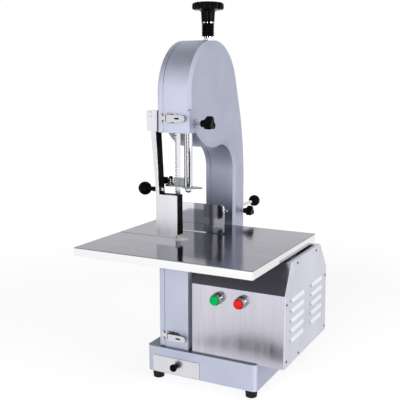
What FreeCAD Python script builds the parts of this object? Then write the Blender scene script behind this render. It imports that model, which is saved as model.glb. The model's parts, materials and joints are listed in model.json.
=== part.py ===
"""Counter-top bone saw with a C-shaped casting, a band blade on two wheels and a side motor housing.

Millimetres, Z up. While modelling, X runs from the table's left edge, Y from its front edge and Z from the
floor. The operator's side is -X, and the plane of the C is YZ. Every node is moved by the same shift when it
is written, so that the origin lies on the floor under the middle of the overall box.
"""
import FreeCAD, Part
import math
import os
from FreeCAD import Vector

os.makedirs("parts", exist_ok=True)

# ---------------------------------------------------------------- driving dimensions: fits
FLAT_GAP = 0.4            # between flat faces of different bodies
CURVE_GAP = 0.3           # between curved faces of different bodies
RUNNING_FIT = 0.05        # radial, shaft in its bore
SEAM_GAP = 0.4            # seam between the door and the casting

# ---------------------------------------------------------------- feet and base
FOOT_DIAMETER = 31.0
FOOT_TAPER = 2.0
FOOT_HEIGHT = 21.0
FOOT_INSET = 21.0
FOOT_STUD_RADIUS = 4.0
BASE_LEFT = 106.0
BASE_FRONT = 145.0
BASE_WIDTH = 295.0
BASE_DEPTH = 335.0
BASE_HEIGHT = 65.0
BASE_WALL = 4.0
BASE_CORNER = 12.0

# ---------------------------------------------------------------- blade and wheels
WHEEL_RADIUS = 112.0
WHEEL_FLANGE = 2.0        # height of the flange above the tread
WHEEL_ROOM = 3.0          # between a wheel and the lower housing
TREAD_WIDTH = 13.5
FLANGE_WIDTH = 3.0
RIM_THICKNESS = 9.0
WEB_THICKNESS = 5.0
HUB_RADIUS = 24.0
HUB_WIDTH = 24.0
WHEEL_HOLES = 5
WHEEL_HOLE_RADIUS = 22.0
BLADE_WIDTH = 16.0
BLADE_THICKNESS = 0.6
TOOTH_PITCH = 6.35
TOOTH_DEPTH = 3.0
BLADE_LEFT = 162.0        # X of the tooth tips
CUT_LINE = 190.6          # Y of the cutting run's front face
WHEEL_ABOVE_TABLE = 347.0

# ---------------------------------------------------------------- C-shaped casting and its door
FRAME_LEFT = 136.0
FRAME_WIDTH = 85.0
DOOR_DEPTH = 16.0
DOOR_WALL = 3.0
DOOR_EDGE = 3.0
CASTING_WALL = 5.0
FRAME_FRONT = 155.0
NECK_DEPTH = 72.0
BLADE_ROOM = 5.8          # between the rear run and the neck's front wall
HEAD_FORWARD = 9.5        # centre of the head's arcs ahead of the wheel's axis
HEAD_ROOM = 11.0          # around the upper wheel
HEAD_FRONT_RADIUS = 124.0
HEAD_SLOPE = 19.1         # degrees, back of the head from the vertical
HEAD_BACK_BLEND = 650.0
THROAT_RADIUS = 74.0
THROAT_RISE = 4.0
TABLE_CORNER_RADIUS = 8.0
CUTTING_HEIGHT = 260.0    # table to head
RIM_BEVEL = 12.0          # width of the bevelled band around the closed face
RIM_DROP = 4.0            # its depth
PAD_WIDTH = 23.0
PAD_HEIGHT = 55.0
PAD_PROUD = 1.0

# ---------------------------------------------------------------- table
TABLE_WIDTH = 450.0
TABLE_SKIRT = 20.0
TABLE_SHEET = 1.5
TABLE_BACK_GAP = 5.0
BAR_HEIGHT = 22.5
BAR_WIDTH = 30.0
BAR_LENGTH = 234.0
SLOT_WIDTH = 4.0
INSERT_RADIUS = 20.0
INSERT_THICKNESS = 5.0

# ---------------------------------------------------------------- tension unit
TENSION_X = 194.0
SCREW_RADIUS = 5.0
KNOB_RADIUS = 39.0
KNOB_THICKNESS = 19.0
KNOB_FLUTES = 12
KNOB_HUB_RADIUS = 17.2
KNOB_HUB_LENGTH = 28.0
WASHER_THICKNESS = 2.4
STACK_RADIUS = 15.5
STACK_LENGTH = 31.0
STACK_RIBS = 8
COLLAR_RADIUS = 12.0
COLLAR_LENGTH = 10.5
SLIDE_TRAVEL = 8.0
AXLE_RADIUS = 10.0
BEARING_RADIUS = 16.0
BEARING_WIDTH = 9.0

# ---------------------------------------------------------------- blade guide
POST_RADIUS = 10.0
POST_X = 203.0
POST_Y = 184.0
GUIDE_HEIGHT = 128.0      # bracket above the table
BRACKET_THICKNESS = 4.0
POST_LENGTH = 219.0
GUIDE_BLOCK_HEIGHT = 18.0
PIN_RADIUS = 6.0
PIN_X = 146.0
PIN_Y = 200.0
PIN_HEIGHT = 14.0
CLAMP_RADIUS = 18.0
CLAMP_STEM_RADIUS = 4.0
CLAMP_STEM = 17.0
CLAMP_HEAD = 30.0

# ---------------------------------------------------------------- pusher
PUSHER_PLATE = 2.5
PUSHER_DEPTH = 28.0
PUSHER_RAIL = 3.0
RAIL_SHALLOW = 12.0       # depth of the rail beside the bracket
PUSHER_FRONT = 156.0
PUSHER_FLOOR = 12.5       # above the table
PUSHER_STEP = 112.0       # top of the lower leg above the table
PUSHER_LEFT = 129.5
PUSHER_RIGHT = 186.8
PIVOT_X = 118.0
PIVOT_HEIGHT = 302.5      # above the table
BALL_RADIUS = 16.5
HANDLE_NECK = 5.54        # radius where the neck leaves the ball
HANDLE_NECK_WIDE = 7.5    # and at the rail

# ---------------------------------------------------------------- fence
FENCE_LEFT = 120.0
FENCE_RIGHT = 250.0
FENCE_Y = 283.0
FENCE_HEIGHT = 72.0
FENCE_FLOOR = 2.0
FENCE_PLATE = 3.0
ROD_X = 190.0
ROD_HEIGHT = 31.0         # above the table
ROD_RADIUS = 5.0
ROD_BACK = 604.0          # Y of the rod's free end

# ---------------------------------------------------------------- motor housing
BOX_LEFT = 229.0
BOX_WIDTH = 236.0
BOX_FRONT = 153.0
BOX_SHEET = 1.5
BOX_FRONT_HEIGHT = 173.0
BOX_SLOPE_DEPTH = 36.0
BOX_TOP_BACK = 396.0
BOX_BACK_HIGH = 450.0
BOX_BACK_LOW = 457.0
BOX_BACK_HEIGHT = 176.0
BOX_TOP_GAP = 4.5         # below the table's skirt
MOTOR_RADIUS = 62.0
MOTOR_LENGTH = 190.0
SHAFT_SOCKET = 60.0       # depth of the shaft's seat in the motor
SHAFT_NUT = 26.0          # across its flats
SHAFT_NUT_HEIGHT = 7.0
MOTOR_FLANGE_RADIUS = 74.0
MOTOR_FLANGE = 10.0
SHAFT_RADIUS = 12.0
LOUVRES = 5
LOUVRE_PITCH = 24.0
LOUVRE_HEIGHT = 11.0
LOUVRE_DEPTH = 4.0
BUTTON_RADIUS = 11.5
BUTTON_X = (297.0, 358.0)
BUTTON_HEIGHT = 145.0     # above the base
BUTTON_REACH = 17.0
BUTTON_PROUD = 5.5
BUTTON_TRAVEL = 4.0

# ---------------------------------------------------------------- drawer
DRAWER_LEFT = 124.0
DRAWER_WIDTH = 129.0
DRAWER_HEIGHT = 41.0
DRAWER_SHEET = 1.5
DRAWER_LENGTH = 250.0

# ---------------------------------------------------------------- latches and hinges
LATCH_HEIGHTS = (648.5, 116.0)
HINGE_HEIGHTS = (430.0, 140.0)
HINGE_RADIUS = 5.0
HINGE_PIN_RADIUS = 2.5
HINGE_LENGTH = 48.0

# ================================================================ derived places
base_top = FOOT_HEIGHT + BASE_HEIGHT
base_right = BASE_LEFT + BASE_WIDTH
base_back = BASE_FRONT + BASE_DEPTH
wheel_outer = WHEEL_RADIUS + WHEEL_FLANGE
housing_height = 2 * (wheel_outer + WHEEL_ROOM + CASTING_WALL)
housing_top = base_top + housing_height
table_top = housing_top + BAR_HEIGHT + TABLE_SHEET
table_under = table_top - TABLE_SHEET
lower_z = base_top + CASTING_WALL + WHEEL_ROOM + wheel_outer
upper_z = table_top + WHEEL_ABOVE_TABLE
wheel_y = CUT_LINE + BLADE_THICKNESS + CURVE_GAP + WHEEL_RADIUS
loop_radius = WHEEL_RADIUS + CURVE_GAP
rear_run = wheel_y + loop_radius
tread_left = BLADE_LEFT + TOOTH_DEPTH + 0.5
hub_left = tread_left - 5.5
frame_right = FRAME_LEFT + FRAME_WIDTH
seam = FRAME_LEFT + DOOR_DEPTH
web_face = frame_right - CASTING_WALL
neck_front = rear_run - BLADE_ROOM - CASTING_WALL
neck_back = neck_front + NECK_DEPTH
head_y = wheel_y - HEAD_FORWARD
head_radius = wheel_outer + HEAD_ROOM + CASTING_WALL
head_top = upper_z + head_radius
head_under = table_top + CUTTING_HEIGHT
throat_top = upper_z - head_radius + THROAT_RISE
table_depth = neck_front - TABLE_BACK_GAP
box_right = BOX_LEFT + BOX_WIDTH
box_top = housing_top + BAR_HEIGHT + TABLE_SHEET - TABLE_SKIRT - BOX_TOP_GAP
rod_z = table_top + ROD_HEIGHT
screw_heads = 1.5
overall_right = box_right + max(screw_heads, LOUVRE_DEPTH)
overall_back = ROD_BACK + 2 * BALL_RADIUS - 4.0
ORIGIN_SHIFT = Vector(-overall_right / 2, -overall_back / 2, 0)
X_AXIS = Vector(1, 0, 0)
Y_AXIS = Vector(0, 1, 0)
Z_AXIS = Vector(0, 0, 1)


# ================================================================ small builders
def box(x0, x1, y0, y1, z0, z1):
    return Part.makeBox(x1 - x0, y1 - y0, z1 - z0, Vector(x0, y0, z0))


def rod_x(x0, x1, y, z, radius):
    return Part.makeCylinder(radius, x1 - x0, Vector(x0, y, z), X_AXIS)


def rod_y(x, y0, y1, z, radius):
    return Part.makeCylinder(radius, y1 - y0, Vector(x, y0, z), Y_AXIS)


def rod_z_axis(x, y, z0, z1, radius):
    return Part.makeCylinder(radius, z1 - z0, Vector(x, y, z0), Z_AXIS)


def ball(x, y, z, radius):
    return Part.makeSphere(radius, Vector(x, y, z))


def fuse(first, *others):
    return first.multiFuse(list(others)).removeSplitter()


def group(*solids):
    return Part.makeCompound(list(solids))


def rounded_face(corners, place):
    """Flat face with straight sides; a corner (u, v, r) has radius r, and place maps (u, v) to 3-D."""
    flat = [Vector(c[0], c[1], 0) for c in corners]
    starts, middles, ends = [], [], []
    for i, corner in enumerate(corners):
        here = flat[i]
        radius = corner[2] if len(corner) > 2 else 0.0
        if radius <= 0:
            starts.append(here)
            middles.append(None)
            ends.append(here)
            continue
        before = (flat[i - 1] - here).normalize()
        after = (flat[(i + 1) % len(flat)] - here).normalize()
        half = before.getAngle(after) / 2
        reach = radius / math.tan(half)
        centre = here + (before + after).normalize() * (radius / math.sin(half))
        starts.append(here + before * reach)
        middles.append(centre + (here - centre).normalize() * radius)
        ends.append(here + after * reach)
    edges = []
    for i in range(len(corners)):
        if middles[i] is not None:
            arc = Part.Arc(place(starts[i]), place(middles[i]), place(ends[i]))
            edges.append(arc.toShape())
        following = starts[(i + 1) % len(corners)]
        if (following - ends[i]).Length > 1e-6:
            edges.append(Part.LineSegment(place(ends[i]), place(following)).toShape())
    return Part.Face(Part.Wire(edges))


def prism_x(corners, x0, x1):
    """Outline in (y, z), drawn out along X."""
    face = rounded_face(corners, lambda p: Vector(x0, p.x, p.y))
    return face.extrude(Vector(x1 - x0, 0, 0))


def prism_y(corners, y0, y1):
    """Outline in (x, z), drawn out along Y."""
    face = rounded_face(corners, lambda p: Vector(p.x, y0, p.y))
    return face.extrude(Vector(0, y1 - y0, 0))


def prism_z(corners, z0, z1):
    """Outline in (x, y), drawn out along Z."""
    face = rounded_face(corners, lambda p: Vector(p.x, p.y, z0))
    return face.extrude(Vector(0, 0, z1 - z0))


def rectangle(u0, u1, v0, v1, radius=0.0):
    return [(u0, v0, radius), (u1, v0, radius), (u1, v1, radius), (u0, v1, radius)]


def turned(profile, origin, axis):
    """A solid of revolution: profile is a list of (distance along the axis, radius)."""
    points = [origin + axis * a + side_of(axis) * r for a, r in profile]
    face = Part.Face(Part.makePolygon(points + points[:1]))
    return face.revolve(origin, axis, 360)


def side_of(axis):
    return Z_AXIS if abs(axis.z) < 0.5 else X_AXIS


def hexagon(origin, axis, across_flats, height):
    """A hexagonal prism from origin along axis."""
    reach = across_flats / math.sqrt(3)
    side = side_of(axis)
    other = axis.cross(side)
    turns = [math.radians(60 * i) for i in range(7)]
    points = [origin + side * (reach * math.cos(t)) + other * (reach * math.sin(t)) for t in turns]
    return Part.Face(Part.makePolygon(points)).extrude(axis * height)


def fluted(origin, axis, radius, height, flutes, flute_radius, depth):
    """A round knob body with scooped flutes around its edge."""
    body = Part.makeCylinder(radius, height, origin, axis)
    side = side_of(axis)
    other = axis.cross(side)
    scoops = []
    for i in range(flutes):
        turn = 2 * math.pi * i / flutes
        away = side * math.cos(turn) + other * math.sin(turn)
        start = origin + away * (radius - depth + flute_radius) - axis
        scoops.append(Part.makeCylinder(flute_radius, height + 2, start, axis))
    return body.cut(group(*scoops))


def moved(shape, x=0.0, y=0.0, z=0.0):
    copy = shape.copy()
    copy.translate(Vector(x, y, z))
    return copy


def write(name, shape):
    placed = moved(shape, ORIGIN_SHIFT.x, ORIGIN_SHIFT.y, ORIGIN_SHIFT.z)
    placed.exportStep("parts/" + name + ".step")


# ================================================================ the C outline, shared by casting and door
def c_outline(inset, lift=0.0):
    """Corners (y, z, radius) of the C, moved inwards by inset; its foot is raised by lift."""
    lean = math.radians(HEAD_SLOPE)
    crown = head_radius - inset
    back = neck_back - inset
    front = FRAME_FRONT + inset
    neck = neck_front + inset
    top = upper_z + crown
    shoulder_y = head_y + crown * (1 - math.sin(lean)) / math.cos(lean)
    nape_z = upper_z + (crown - (back - head_y) * math.cos(lean)) / math.sin(lean)
    foot = base_top + lift + inset
    throat = throat_top + inset
    return [
        (front, foot),
        (front, housing_top - inset),
        (neck, housing_top - inset, TABLE_CORNER_RADIUS + inset),
        (neck, throat, THROAT_RADIUS + inset),
        (head_y, throat),
        (head_y, head_under + inset),
        (front, head_under + inset),
        (front, top, HEAD_FRONT_RADIUS - inset),
        (shoulder_y, top, crown),
        (back, nape_z, HEAD_BACK_BLEND - inset),
        (back, foot),
    ]


def c_block(inset, x0, x1, lift=0.0):
    """The C drawn out along X, with the round underside that follows the upper wheel."""
    bulge = rod_x(x0, x1, head_y, upper_z, head_radius - inset)
    return fuse(prism_x(c_outline(inset, lift), x0, x1), bulge)


def c_bevel(inset_low, x_low, inset_high, x_high, lift=0.0):
    """The C tapering from one inset to another between two X planes."""
    wires = []
    for inset, x in ((inset_low, x_low), (inset_high, x_high)):
        face = rounded_face(c_outline(inset, lift), lambda p, x=x: Vector(x, p.x, p.y))
        wires.append(face.OuterWire)
    taper = Part.makeLoft(wires, True, True)
    cone = Part.makeCone(
        head_radius - inset_low, head_radius - inset_high, x_high - x_low,
        Vector(x_low, head_y, upper_z), X_AXIS,
    )
    return fuse(taper, cone)


# ================================================================ casting
SLOT_MARGIN = 4.0
CHUTE = (158.0, 205.0, 250.0, 350.0)      # x0, x1, y0, y1 of the refuse opening above the drawer
bar_places = (FRAME_FRONT + 82, neck_front - 50)
bolt_places = [(seam + 22, y) for y in bar_places] + [(web_face - 12, y) for y in bar_places]
BOLT_RADIUS = 3.0
BLOCK_HALF = 20.0         # half width of the tension block
BLOCK_HEIGHT = 66.0
RAIL_DEPTH = 8.0
rail_left = web_face - RAIL_DEPTH
block_low = upper_z - BLOCK_HEIGHT / 2
rail_low = block_low - SLIDE_TRAVEL - 12
guide_clamp_z = head_under + 22.0
fence_clamp_y = neck_back - 22.0
BUSH_RADIUS = 7.0
pad_top = head_under + PAD_HEIGHT


def slide_rails():
    """Two cast ribs on the web between which the tension block slides."""
    rails = []
    for side in (-1, 1):
        near = wheel_y + side * (BLOCK_HALF / 2 + FLAT_GAP)
        far = wheel_y + side * (BLOCK_HALF + 6)
        rails.append(
            box(rail_left, web_face + 1, min(near, far), max(near, far), rail_low, block_low + 90)
        )
    return rails


def frame_casting():
    body = fuse(
        c_block(0, seam, frame_right - RIM_DROP),
        c_bevel(0, frame_right - RIM_DROP, RIM_BEVEL, frame_right),
        prism_x(
            [
                (FRAME_FRONT, head_under),
                (FRAME_FRONT + PAD_WIDTH, head_under),
                (FRAME_FRONT + PAD_WIDTH, pad_top, 6.0),
                (FRAME_FRONT, pad_top, 6.0),
            ],
            web_face,
            frame_right + PAD_PROUD,
        ),
    )
    body = body.cut(c_block(CASTING_WALL, seam - 1, web_face))
    post_boss = box(POST_X - 13, web_face + 1, POST_Y - 16, POST_Y + 14, head_under + 2, head_under + 42)
    clamp_boss = rod_x(frame_right - 3, frame_right + 3, POST_Y, guide_clamp_z, 9.0)
    fence_boss = rod_x(ROD_X + 4, web_face + 1, fence_clamp_y, rod_z, 9.0)
    roof_boss = rod_z_axis(TENSION_X, wheel_y, head_top - 14, head_top, 14.0)
    body = fuse(body, post_boss, clamp_boss, fence_boss, roof_boss, *slide_rails())
    blade_slot = box(
        BLADE_LEFT - SLOT_MARGIN, BLADE_LEFT + BLADE_WIDTH + SLOT_MARGIN,
        CUT_LINE - SLOT_MARGIN, CUT_LINE + SLOT_MARGIN, 0, head_under + CASTING_WALL + 12,
    )
    blade_slot = blade_slot.common(box(0, web_face, 0, wheel_y, housing_top - 20, head_top))
    cuts = [
        blade_slot,
        rod_z_axis(POST_X, POST_Y, head_under - 1, head_under + 43, POST_RADIUS + RUNNING_FIT),
        rod_x(POST_X, frame_right + 10, POST_Y, guide_clamp_z, CLAMP_STEM_RADIUS + RUNNING_FIT),
        rod_y(ROD_X, neck_front - 1, neck_back + 1, rod_z, BUSH_RADIUS),
        rod_x(ROD_X, frame_right + 10, fence_clamp_y, rod_z, CLAMP_STEM_RADIUS + RUNNING_FIT),
        rod_z_axis(TENSION_X, wheel_y, head_top - 20, head_top + 1, SCREW_RADIUS + CURVE_GAP),
        rod_x(web_face - 1, frame_right + 1, wheel_y, lower_z, SHAFT_RADIUS + 8),
        group(*[rod_z_axis(x, y, housing_top - 8, housing_top + 1, BOLT_RADIUS) for x, y in bolt_places]),
        box(CHUTE[0], CHUTE[1], CHUTE[2], CHUTE[3], base_top - 1, base_top + CASTING_WALL + 1),
    ]
    for cut in cuts:
        body = body.cut(cut)
    return body.removeSplitter()


write("frame_casting", frame_casting())


# ================================================================ side door
DOOR_LIFT = 1.0
door_right = seam - SEAM_GAP


def side_door():
    shell = fuse(
        c_bevel(DOOR_EDGE, FRAME_LEFT, 0, FRAME_LEFT + DOOR_EDGE, DOOR_LIFT),
        c_block(0, FRAME_LEFT + DOOR_EDGE, door_right, DOOR_LIFT),
    )
    hollow = c_block(DOOR_WALL, FRAME_LEFT + DOOR_WALL, door_right + 1, DOOR_LIFT)
    blade_way = box(
        BLADE_LEFT - 30, door_right + 1, CUT_LINE - SLOT_MARGIN, CUT_LINE + SLOT_MARGIN,
        housing_top - 10, head_under + 12,
    )
    return shell.cut(hollow).cut(blade_way)


write("side_door", side_door())

hinge_x = seam - SEAM_GAP / 2
hinge_y = neck_back + HINGE_RADIUS + 1.0
LEAF = 2.0
KNUCKLES = 3


def hinge_part(fixed):
    """Leaves and knuckles of the back hinges; the outer knuckles belong to the casting and hold the pin."""
    solids = []
    for middle in HINGE_HEIGHTS:
        low = middle - HINGE_LENGTH / 2
        third = HINGE_LENGTH / KNUCKLES
        if fixed:
            leaf = box(hinge_x + 1, hinge_x + 22, neck_back, neck_back + LEAF, low, low + HINGE_LENGTH)
            spans = ((low, low + third - FLAT_GAP), (low + 2 * third + FLAT_GAP, low + HINGE_LENGTH))
        else:
            leaf = box(FRAME_LEFT + 4, hinge_x - 1, neck_back, neck_back + LEAF, low, low + HINGE_LENGTH)
            spans = ((low + third, low + 2 * third),)
        knuckles = [rod_z_axis(hinge_x, hinge_y, a, b, HINGE_RADIUS) for a, b in spans]
        side = 1 if fixed else -1
        ties = [
            box(min(hinge_x, hinge_x + side * 4), max(hinge_x, hinge_x + side * 4), neck_back, hinge_y, a, b)
            for a, b in spans
        ]
        room = rod_z_axis(hinge_x, hinge_y, low - 1, low + HINGE_LENGTH + 1, HINGE_RADIUS + CURVE_GAP)
        body = fuse(leaf.cut(room), *(knuckles + ties))
        if fixed:
            pin = rod_z_axis(hinge_x, hinge_y, low, low + HINGE_LENGTH, HINGE_PIN_RADIUS)
            head = rod_z_axis(
                hinge_x, hinge_y, low + HINGE_LENGTH, low + HINGE_LENGTH + 2, HINGE_PIN_RADIUS + 1.5
            )
            solids.append(fuse(body, pin, head))
        else:
            bore = rod_z_axis(
                hinge_x, hinge_y, low - 1, low + HINGE_LENGTH + 1, HINGE_PIN_RADIUS + RUNNING_FIT
            )
            solids.append(body.cut(bore))
    return group(*solids)


write("casting_hinge_leaves", hinge_part(True))
write("door_hinge_leaves", hinge_part(False))


# ================================================================ base, feet, drawer
drawer_right = DRAWER_LEFT + DRAWER_WIDTH
drawer_floor = FOOT_HEIGHT + BASE_WALL
front_low = drawer_floor - 2.0
BAY_MARGIN = 5.0
TRAY_GAP = 1.0
bay_top = front_low + DRAWER_HEIGHT - BAY_MARGIN
foot_places = [
    (x, y)
    for x in (BASE_LEFT + FOOT_INSET, base_right - FOOT_INSET)
    for y in (BASE_FRONT + FOOT_INSET, base_back - FOOT_INSET)
]


def base_box():
    outer = prism_z(
        rectangle(BASE_LEFT, base_right, BASE_FRONT, base_back, BASE_CORNER), FOOT_HEIGHT, base_top
    )
    inner = prism_z(
        rectangle(
            BASE_LEFT + BASE_WALL, base_right - BASE_WALL, BASE_FRONT + BASE_WALL, base_back - BASE_WALL,
            BASE_CORNER - BASE_WALL,
        ),
        drawer_floor, base_top - BASE_WALL,
    )
    bay = box(
        DRAWER_LEFT + BAY_MARGIN, drawer_right - BAY_MARGIN, BASE_FRONT - 1, BASE_FRONT + BASE_WALL + 1,
        drawer_floor, bay_top,
    )
    chute = box(CHUTE[0], CHUTE[1], CHUTE[2], CHUTE[3], base_top - BASE_WALL - 1, base_top + 1)
    studs = [rod_z_axis(x, y, FOOT_HEIGHT - 1, drawer_floor + 1, FOOT_STUD_RADIUS) for x, y in foot_places]
    return outer.cut(inner).cut(bay).cut(chute).cut(group(*studs))


def feet():
    narrow = FOOT_DIAMETER / 2 - FOOT_TAPER
    wide = FOOT_DIAMETER / 2
    profile = [
        (0, 0), (0, narrow - 1), (1, narrow), (FOOT_HEIGHT - 2, wide), (FOOT_HEIGHT, wide), (FOOT_HEIGHT, 0),
    ]
    seat = FOOT_HEIGHT - 8
    solids = []
    for x, y in foot_places:
        rubber = turned(profile, Vector(x, y, 0), Z_AXIS)
        solids.append(rubber.cut(rod_z_axis(x, y, seat, FOOT_HEIGHT + 1, FOOT_STUD_RADIUS)))
    return group(*solids)


def foot_studs():
    """Threaded studs, flush with the base's floor."""
    return group(
        *[rod_z_axis(x, y, FOOT_HEIGHT - 8, drawer_floor, FOOT_STUD_RADIUS) for x, y in foot_places]
    )


tray_left = DRAWER_LEFT + BAY_MARGIN + TRAY_GAP
tray_right = drawer_right - BAY_MARGIN - TRAY_GAP
tray_low = drawer_floor + FLAT_GAP
tray_top = bay_top - TRAY_GAP
tray_back = BASE_FRONT + DRAWER_LENGTH
knob_x = (DRAWER_LEFT + drawer_right) / 2
knob_z = front_low + 22.0


def drawer_tray():
    """Open sheet tray with its larger front plate."""
    outer = box(tray_left, tray_right, BASE_FRONT, tray_back, tray_low, tray_top)
    inner = box(
        tray_left + DRAWER_SHEET, tray_right - DRAWER_SHEET, BASE_FRONT + DRAWER_SHEET,
        tray_back - DRAWER_SHEET, tray_low + DRAWER_SHEET, tray_top + 1,
    )
    front = prism_y(
        rectangle(DRAWER_LEFT, drawer_right, front_low, front_low + DRAWER_HEIGHT, 1.5),
        BASE_FRONT - DRAWER_SHEET, BASE_FRONT,
    )
    return fuse(outer.cut(inner), front)


def drawer_knob():
    profile = [(0, 0), (0, 6), (2, 4), (7, 4), (9, 8), (13, 9.5), (17, 8), (19, 4.5), (19.6, 0)]
    return turned(profile, Vector(knob_x, BASE_FRONT - DRAWER_SHEET, knob_z), Vector(0, -1, 0))


write("base_box", base_box())
write("feet", feet())
write("foot_studs", foot_studs())
write("drawer_tray", drawer_tray())
write("drawer_knob", drawer_knob())


# ================================================================ table
insert_x = BLADE_LEFT + BLADE_WIDTH


def table_plate():
    outer = prism_z(rectangle(0, TABLE_WIDTH, 0, table_depth, 2.0), table_top - TABLE_SKIRT, table_top)
    inner = box(
        TABLE_SHEET, TABLE_WIDTH - TABLE_SHEET, TABLE_SHEET, table_depth - TABLE_SHEET,
        table_top - TABLE_SKIRT - 1, table_under,
    )
    slot = box(-1, insert_x, CUT_LINE - SLOT_WIDTH / 2, CUT_LINE + SLOT_WIDTH / 2, 0, table_top + 1)
    slot = slot.common(box(-1, insert_x, 0, table_depth, table_top - TABLE_SKIRT - 1, table_top + 1))
    seat = rod_z_axis(insert_x, CUT_LINE, table_under - 1, table_top + 1, INSERT_RADIUS)
    plate = outer.cut(inner).cut(slot).cut(seat)
    ledge = rod_z_axis(
        insert_x, CUT_LINE, table_top - INSERT_THICKNESS - 1.5, table_under, INSERT_RADIUS + 2
    )
    bore = rod_z_axis(insert_x, CUT_LINE, table_top - INSERT_THICKNESS, table_top, INSERT_RADIUS)
    hole = rod_z_axis(insert_x, CUT_LINE, table_top - TABLE_SKIRT, table_top, INSERT_RADIUS - 2.5)
    return fuse(plate, ledge.cut(bore).cut(hole).cut(slot))


def blade_insert():
    disc = rod_z_axis(insert_x, CUT_LINE, table_top - INSERT_THICKNESS, table_top, INSERT_RADIUS)
    gap = box(
        insert_x - INSERT_RADIUS - 1, insert_x + 1.5, CUT_LINE - 1.2, CUT_LINE + 1.8,
        table_top - INSERT_THICKNESS - 1, table_top + 1,
    )
    return disc.cut(gap)


def table_bars():
    bars = []
    for y in bar_places:
        bar = box(
            seam + 4, seam + 4 + BAR_LENGTH, y - BAR_WIDTH / 2, y + BAR_WIDTH / 2, housing_top, table_under
        )
        groove = box(
            seam, seam + 10 + BAR_LENGTH, y - BAR_WIDTH / 2 + 3, y + BAR_WIDTH / 2 - 3,
            housing_top + 3, table_under - 3,
        )
        for x, bolt_y in bolt_places:
            groove = groove.fuse(rod_z_axis(x, bolt_y, housing_top - 1, housing_top + 4, BOLT_RADIUS))
        bars.append(bar.cut(groove))
    return group(*bars)


def table_bolts():
    """Bolts through the bars into the roof of the lower housing."""
    bolts = []
    for x, y in bolt_places:
        head = hexagon(Vector(x, y, housing_top + 3), Z_AXIS, 10.0, 4.0)
        shank = rod_z_axis(x, y, housing_top - CASTING_WALL, housing_top + 4, BOLT_RADIUS)
        bolts.append(fuse(head, shank))
    return group(*bolts)


write("table_plate", table_plate())
write("blade_insert", blade_insert())
write("table_bars", table_bars())
write("table_bolts", table_bolts())


# ================================================================ blade with its teeth
def tooth_row(count, pitch):
    """Saw-tooth outline along +Z from 0, with tips at X = 0 and roots at X = TOOTH_DEPTH."""
    corners = []
    for i in range(count):
        corners.append((TOOTH_DEPTH, i * pitch))
        corners.append((0.0, (i + 0.25) * pitch))
    corners.append((TOOTH_DEPTH, count * pitch))
    return corners


def straight_run(front):
    """One straight run between the wheels, teeth pointing down at the front and up at the back."""
    length = upper_z - lower_z
    count = round(length / TOOTH_PITCH)
    row = tooth_row(count, length / count)
    outline = [(BLADE_LEFT + x, lower_z + s if front else upper_z - s) for x, s in row]
    back = BLADE_LEFT + BLADE_WIDTH
    outline.append((back, outline[-1][1]))
    outline.append((back, outline[0][1]))
    inner = wheel_y - loop_radius if front else wheel_y + loop_radius
    return prism_y(
        outline, inner - BLADE_THICKNESS if front else inner, inner if front else inner + BLADE_THICKNESS
    )


def half_turn(upper):
    """The band over one wheel: a half ring with a wedge for each tooth."""
    height = upper_z if upper else lower_z
    outer = loop_radius + BLADE_THICKNESS
    ring = rod_x(BLADE_LEFT + TOOTH_DEPTH, BLADE_LEFT + BLADE_WIDTH, wheel_y, height, outer)
    ring = ring.cut(rod_x(BLADE_LEFT, BLADE_LEFT + BLADE_WIDTH + 1, wheel_y, height, loop_radius))
    keep = box(
        BLADE_LEFT - 1, BLADE_LEFT + BLADE_WIDTH + 1, wheel_y - 200, wheel_y + 200, height, height + 200
    )
    if not upper:
        keep = moved(keep, z=-200)
    ring = ring.common(keep)
    count = round(math.pi * loop_radius / TOOTH_PITCH)
    pitch = math.pi * loop_radius / count
    teeth = []
    for i in range(count):
        tooth = prism_y(
            [(BLADE_LEFT + TOOTH_DEPTH + 0.2, 0), (BLADE_LEFT, 0.25 * pitch), (
                BLADE_LEFT + TOOTH_DEPTH + 0.2, pitch
            )],
            wheel_y - outer + 0.02, wheel_y - loop_radius - 0.05,
        )
        tooth.translate(Vector(0, 0, height - pitch / 2))
        first = 0.5 if upper else 0.5 + count
        turn = -math.degrees(math.pi * (i + first) / count)
        tooth.rotate(Vector(0, wheel_y, height), X_AXIS, turn)
        teeth.append(tooth)
    return ring.multiFuse(teeth)


def blade():
    others = [straight_run(False), half_turn(True), half_turn(False)]
    return straight_run(True).multiFuse(others).removeSplitter()


write("blade", blade())


# ================================================================ wheels
def wheel(bore):
    """Cast wheel about the X axis through the origin: flanged rim, web with round holes, hub."""
    rim_in = WHEEL_RADIUS - RIM_THICKNESS
    web_left = tread_left + (TREAD_WIDTH - WEB_THICKNESS) / 2
    web_right = web_left + WEB_THICKNESS
    rim_right = tread_left + TREAD_WIDTH + FLANGE_WIDTH
    profile = [
        (hub_left, bore), (hub_left, HUB_RADIUS - 2),
        (hub_left + 2, HUB_RADIUS), (web_left, HUB_RADIUS + 2),
        (web_left, rim_in - 2), (tread_left, rim_in), (tread_left, WHEEL_RADIUS),
        (tread_left + TREAD_WIDTH, WHEEL_RADIUS), (tread_left + TREAD_WIDTH, wheel_outer),
        (rim_right, wheel_outer), (rim_right, rim_in), (web_right, rim_in - 2), (web_right, HUB_RADIUS + 2),
        (hub_left + HUB_WIDTH, HUB_RADIUS), (hub_left + HUB_WIDTH, bore),
    ]
    body = turned(profile, Vector(0, 0, 0), X_AXIS)
    middle = (HUB_RADIUS + rim_in) / 2
    holes = []
    for i in range(WHEEL_HOLES):
        turn = 2 * math.pi * i / WHEEL_HOLES
        hole_y = middle * math.cos(turn)
        hole_z = middle * math.sin(turn)
        holes.append(rod_x(web_left - 1, web_right + 1, hole_y, hole_z, WHEEL_HOLE_RADIUS))
    return body.cut(group(*holes))


hub_right = hub_left + HUB_WIDTH
block_left = hub_right + 1.0


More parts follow.
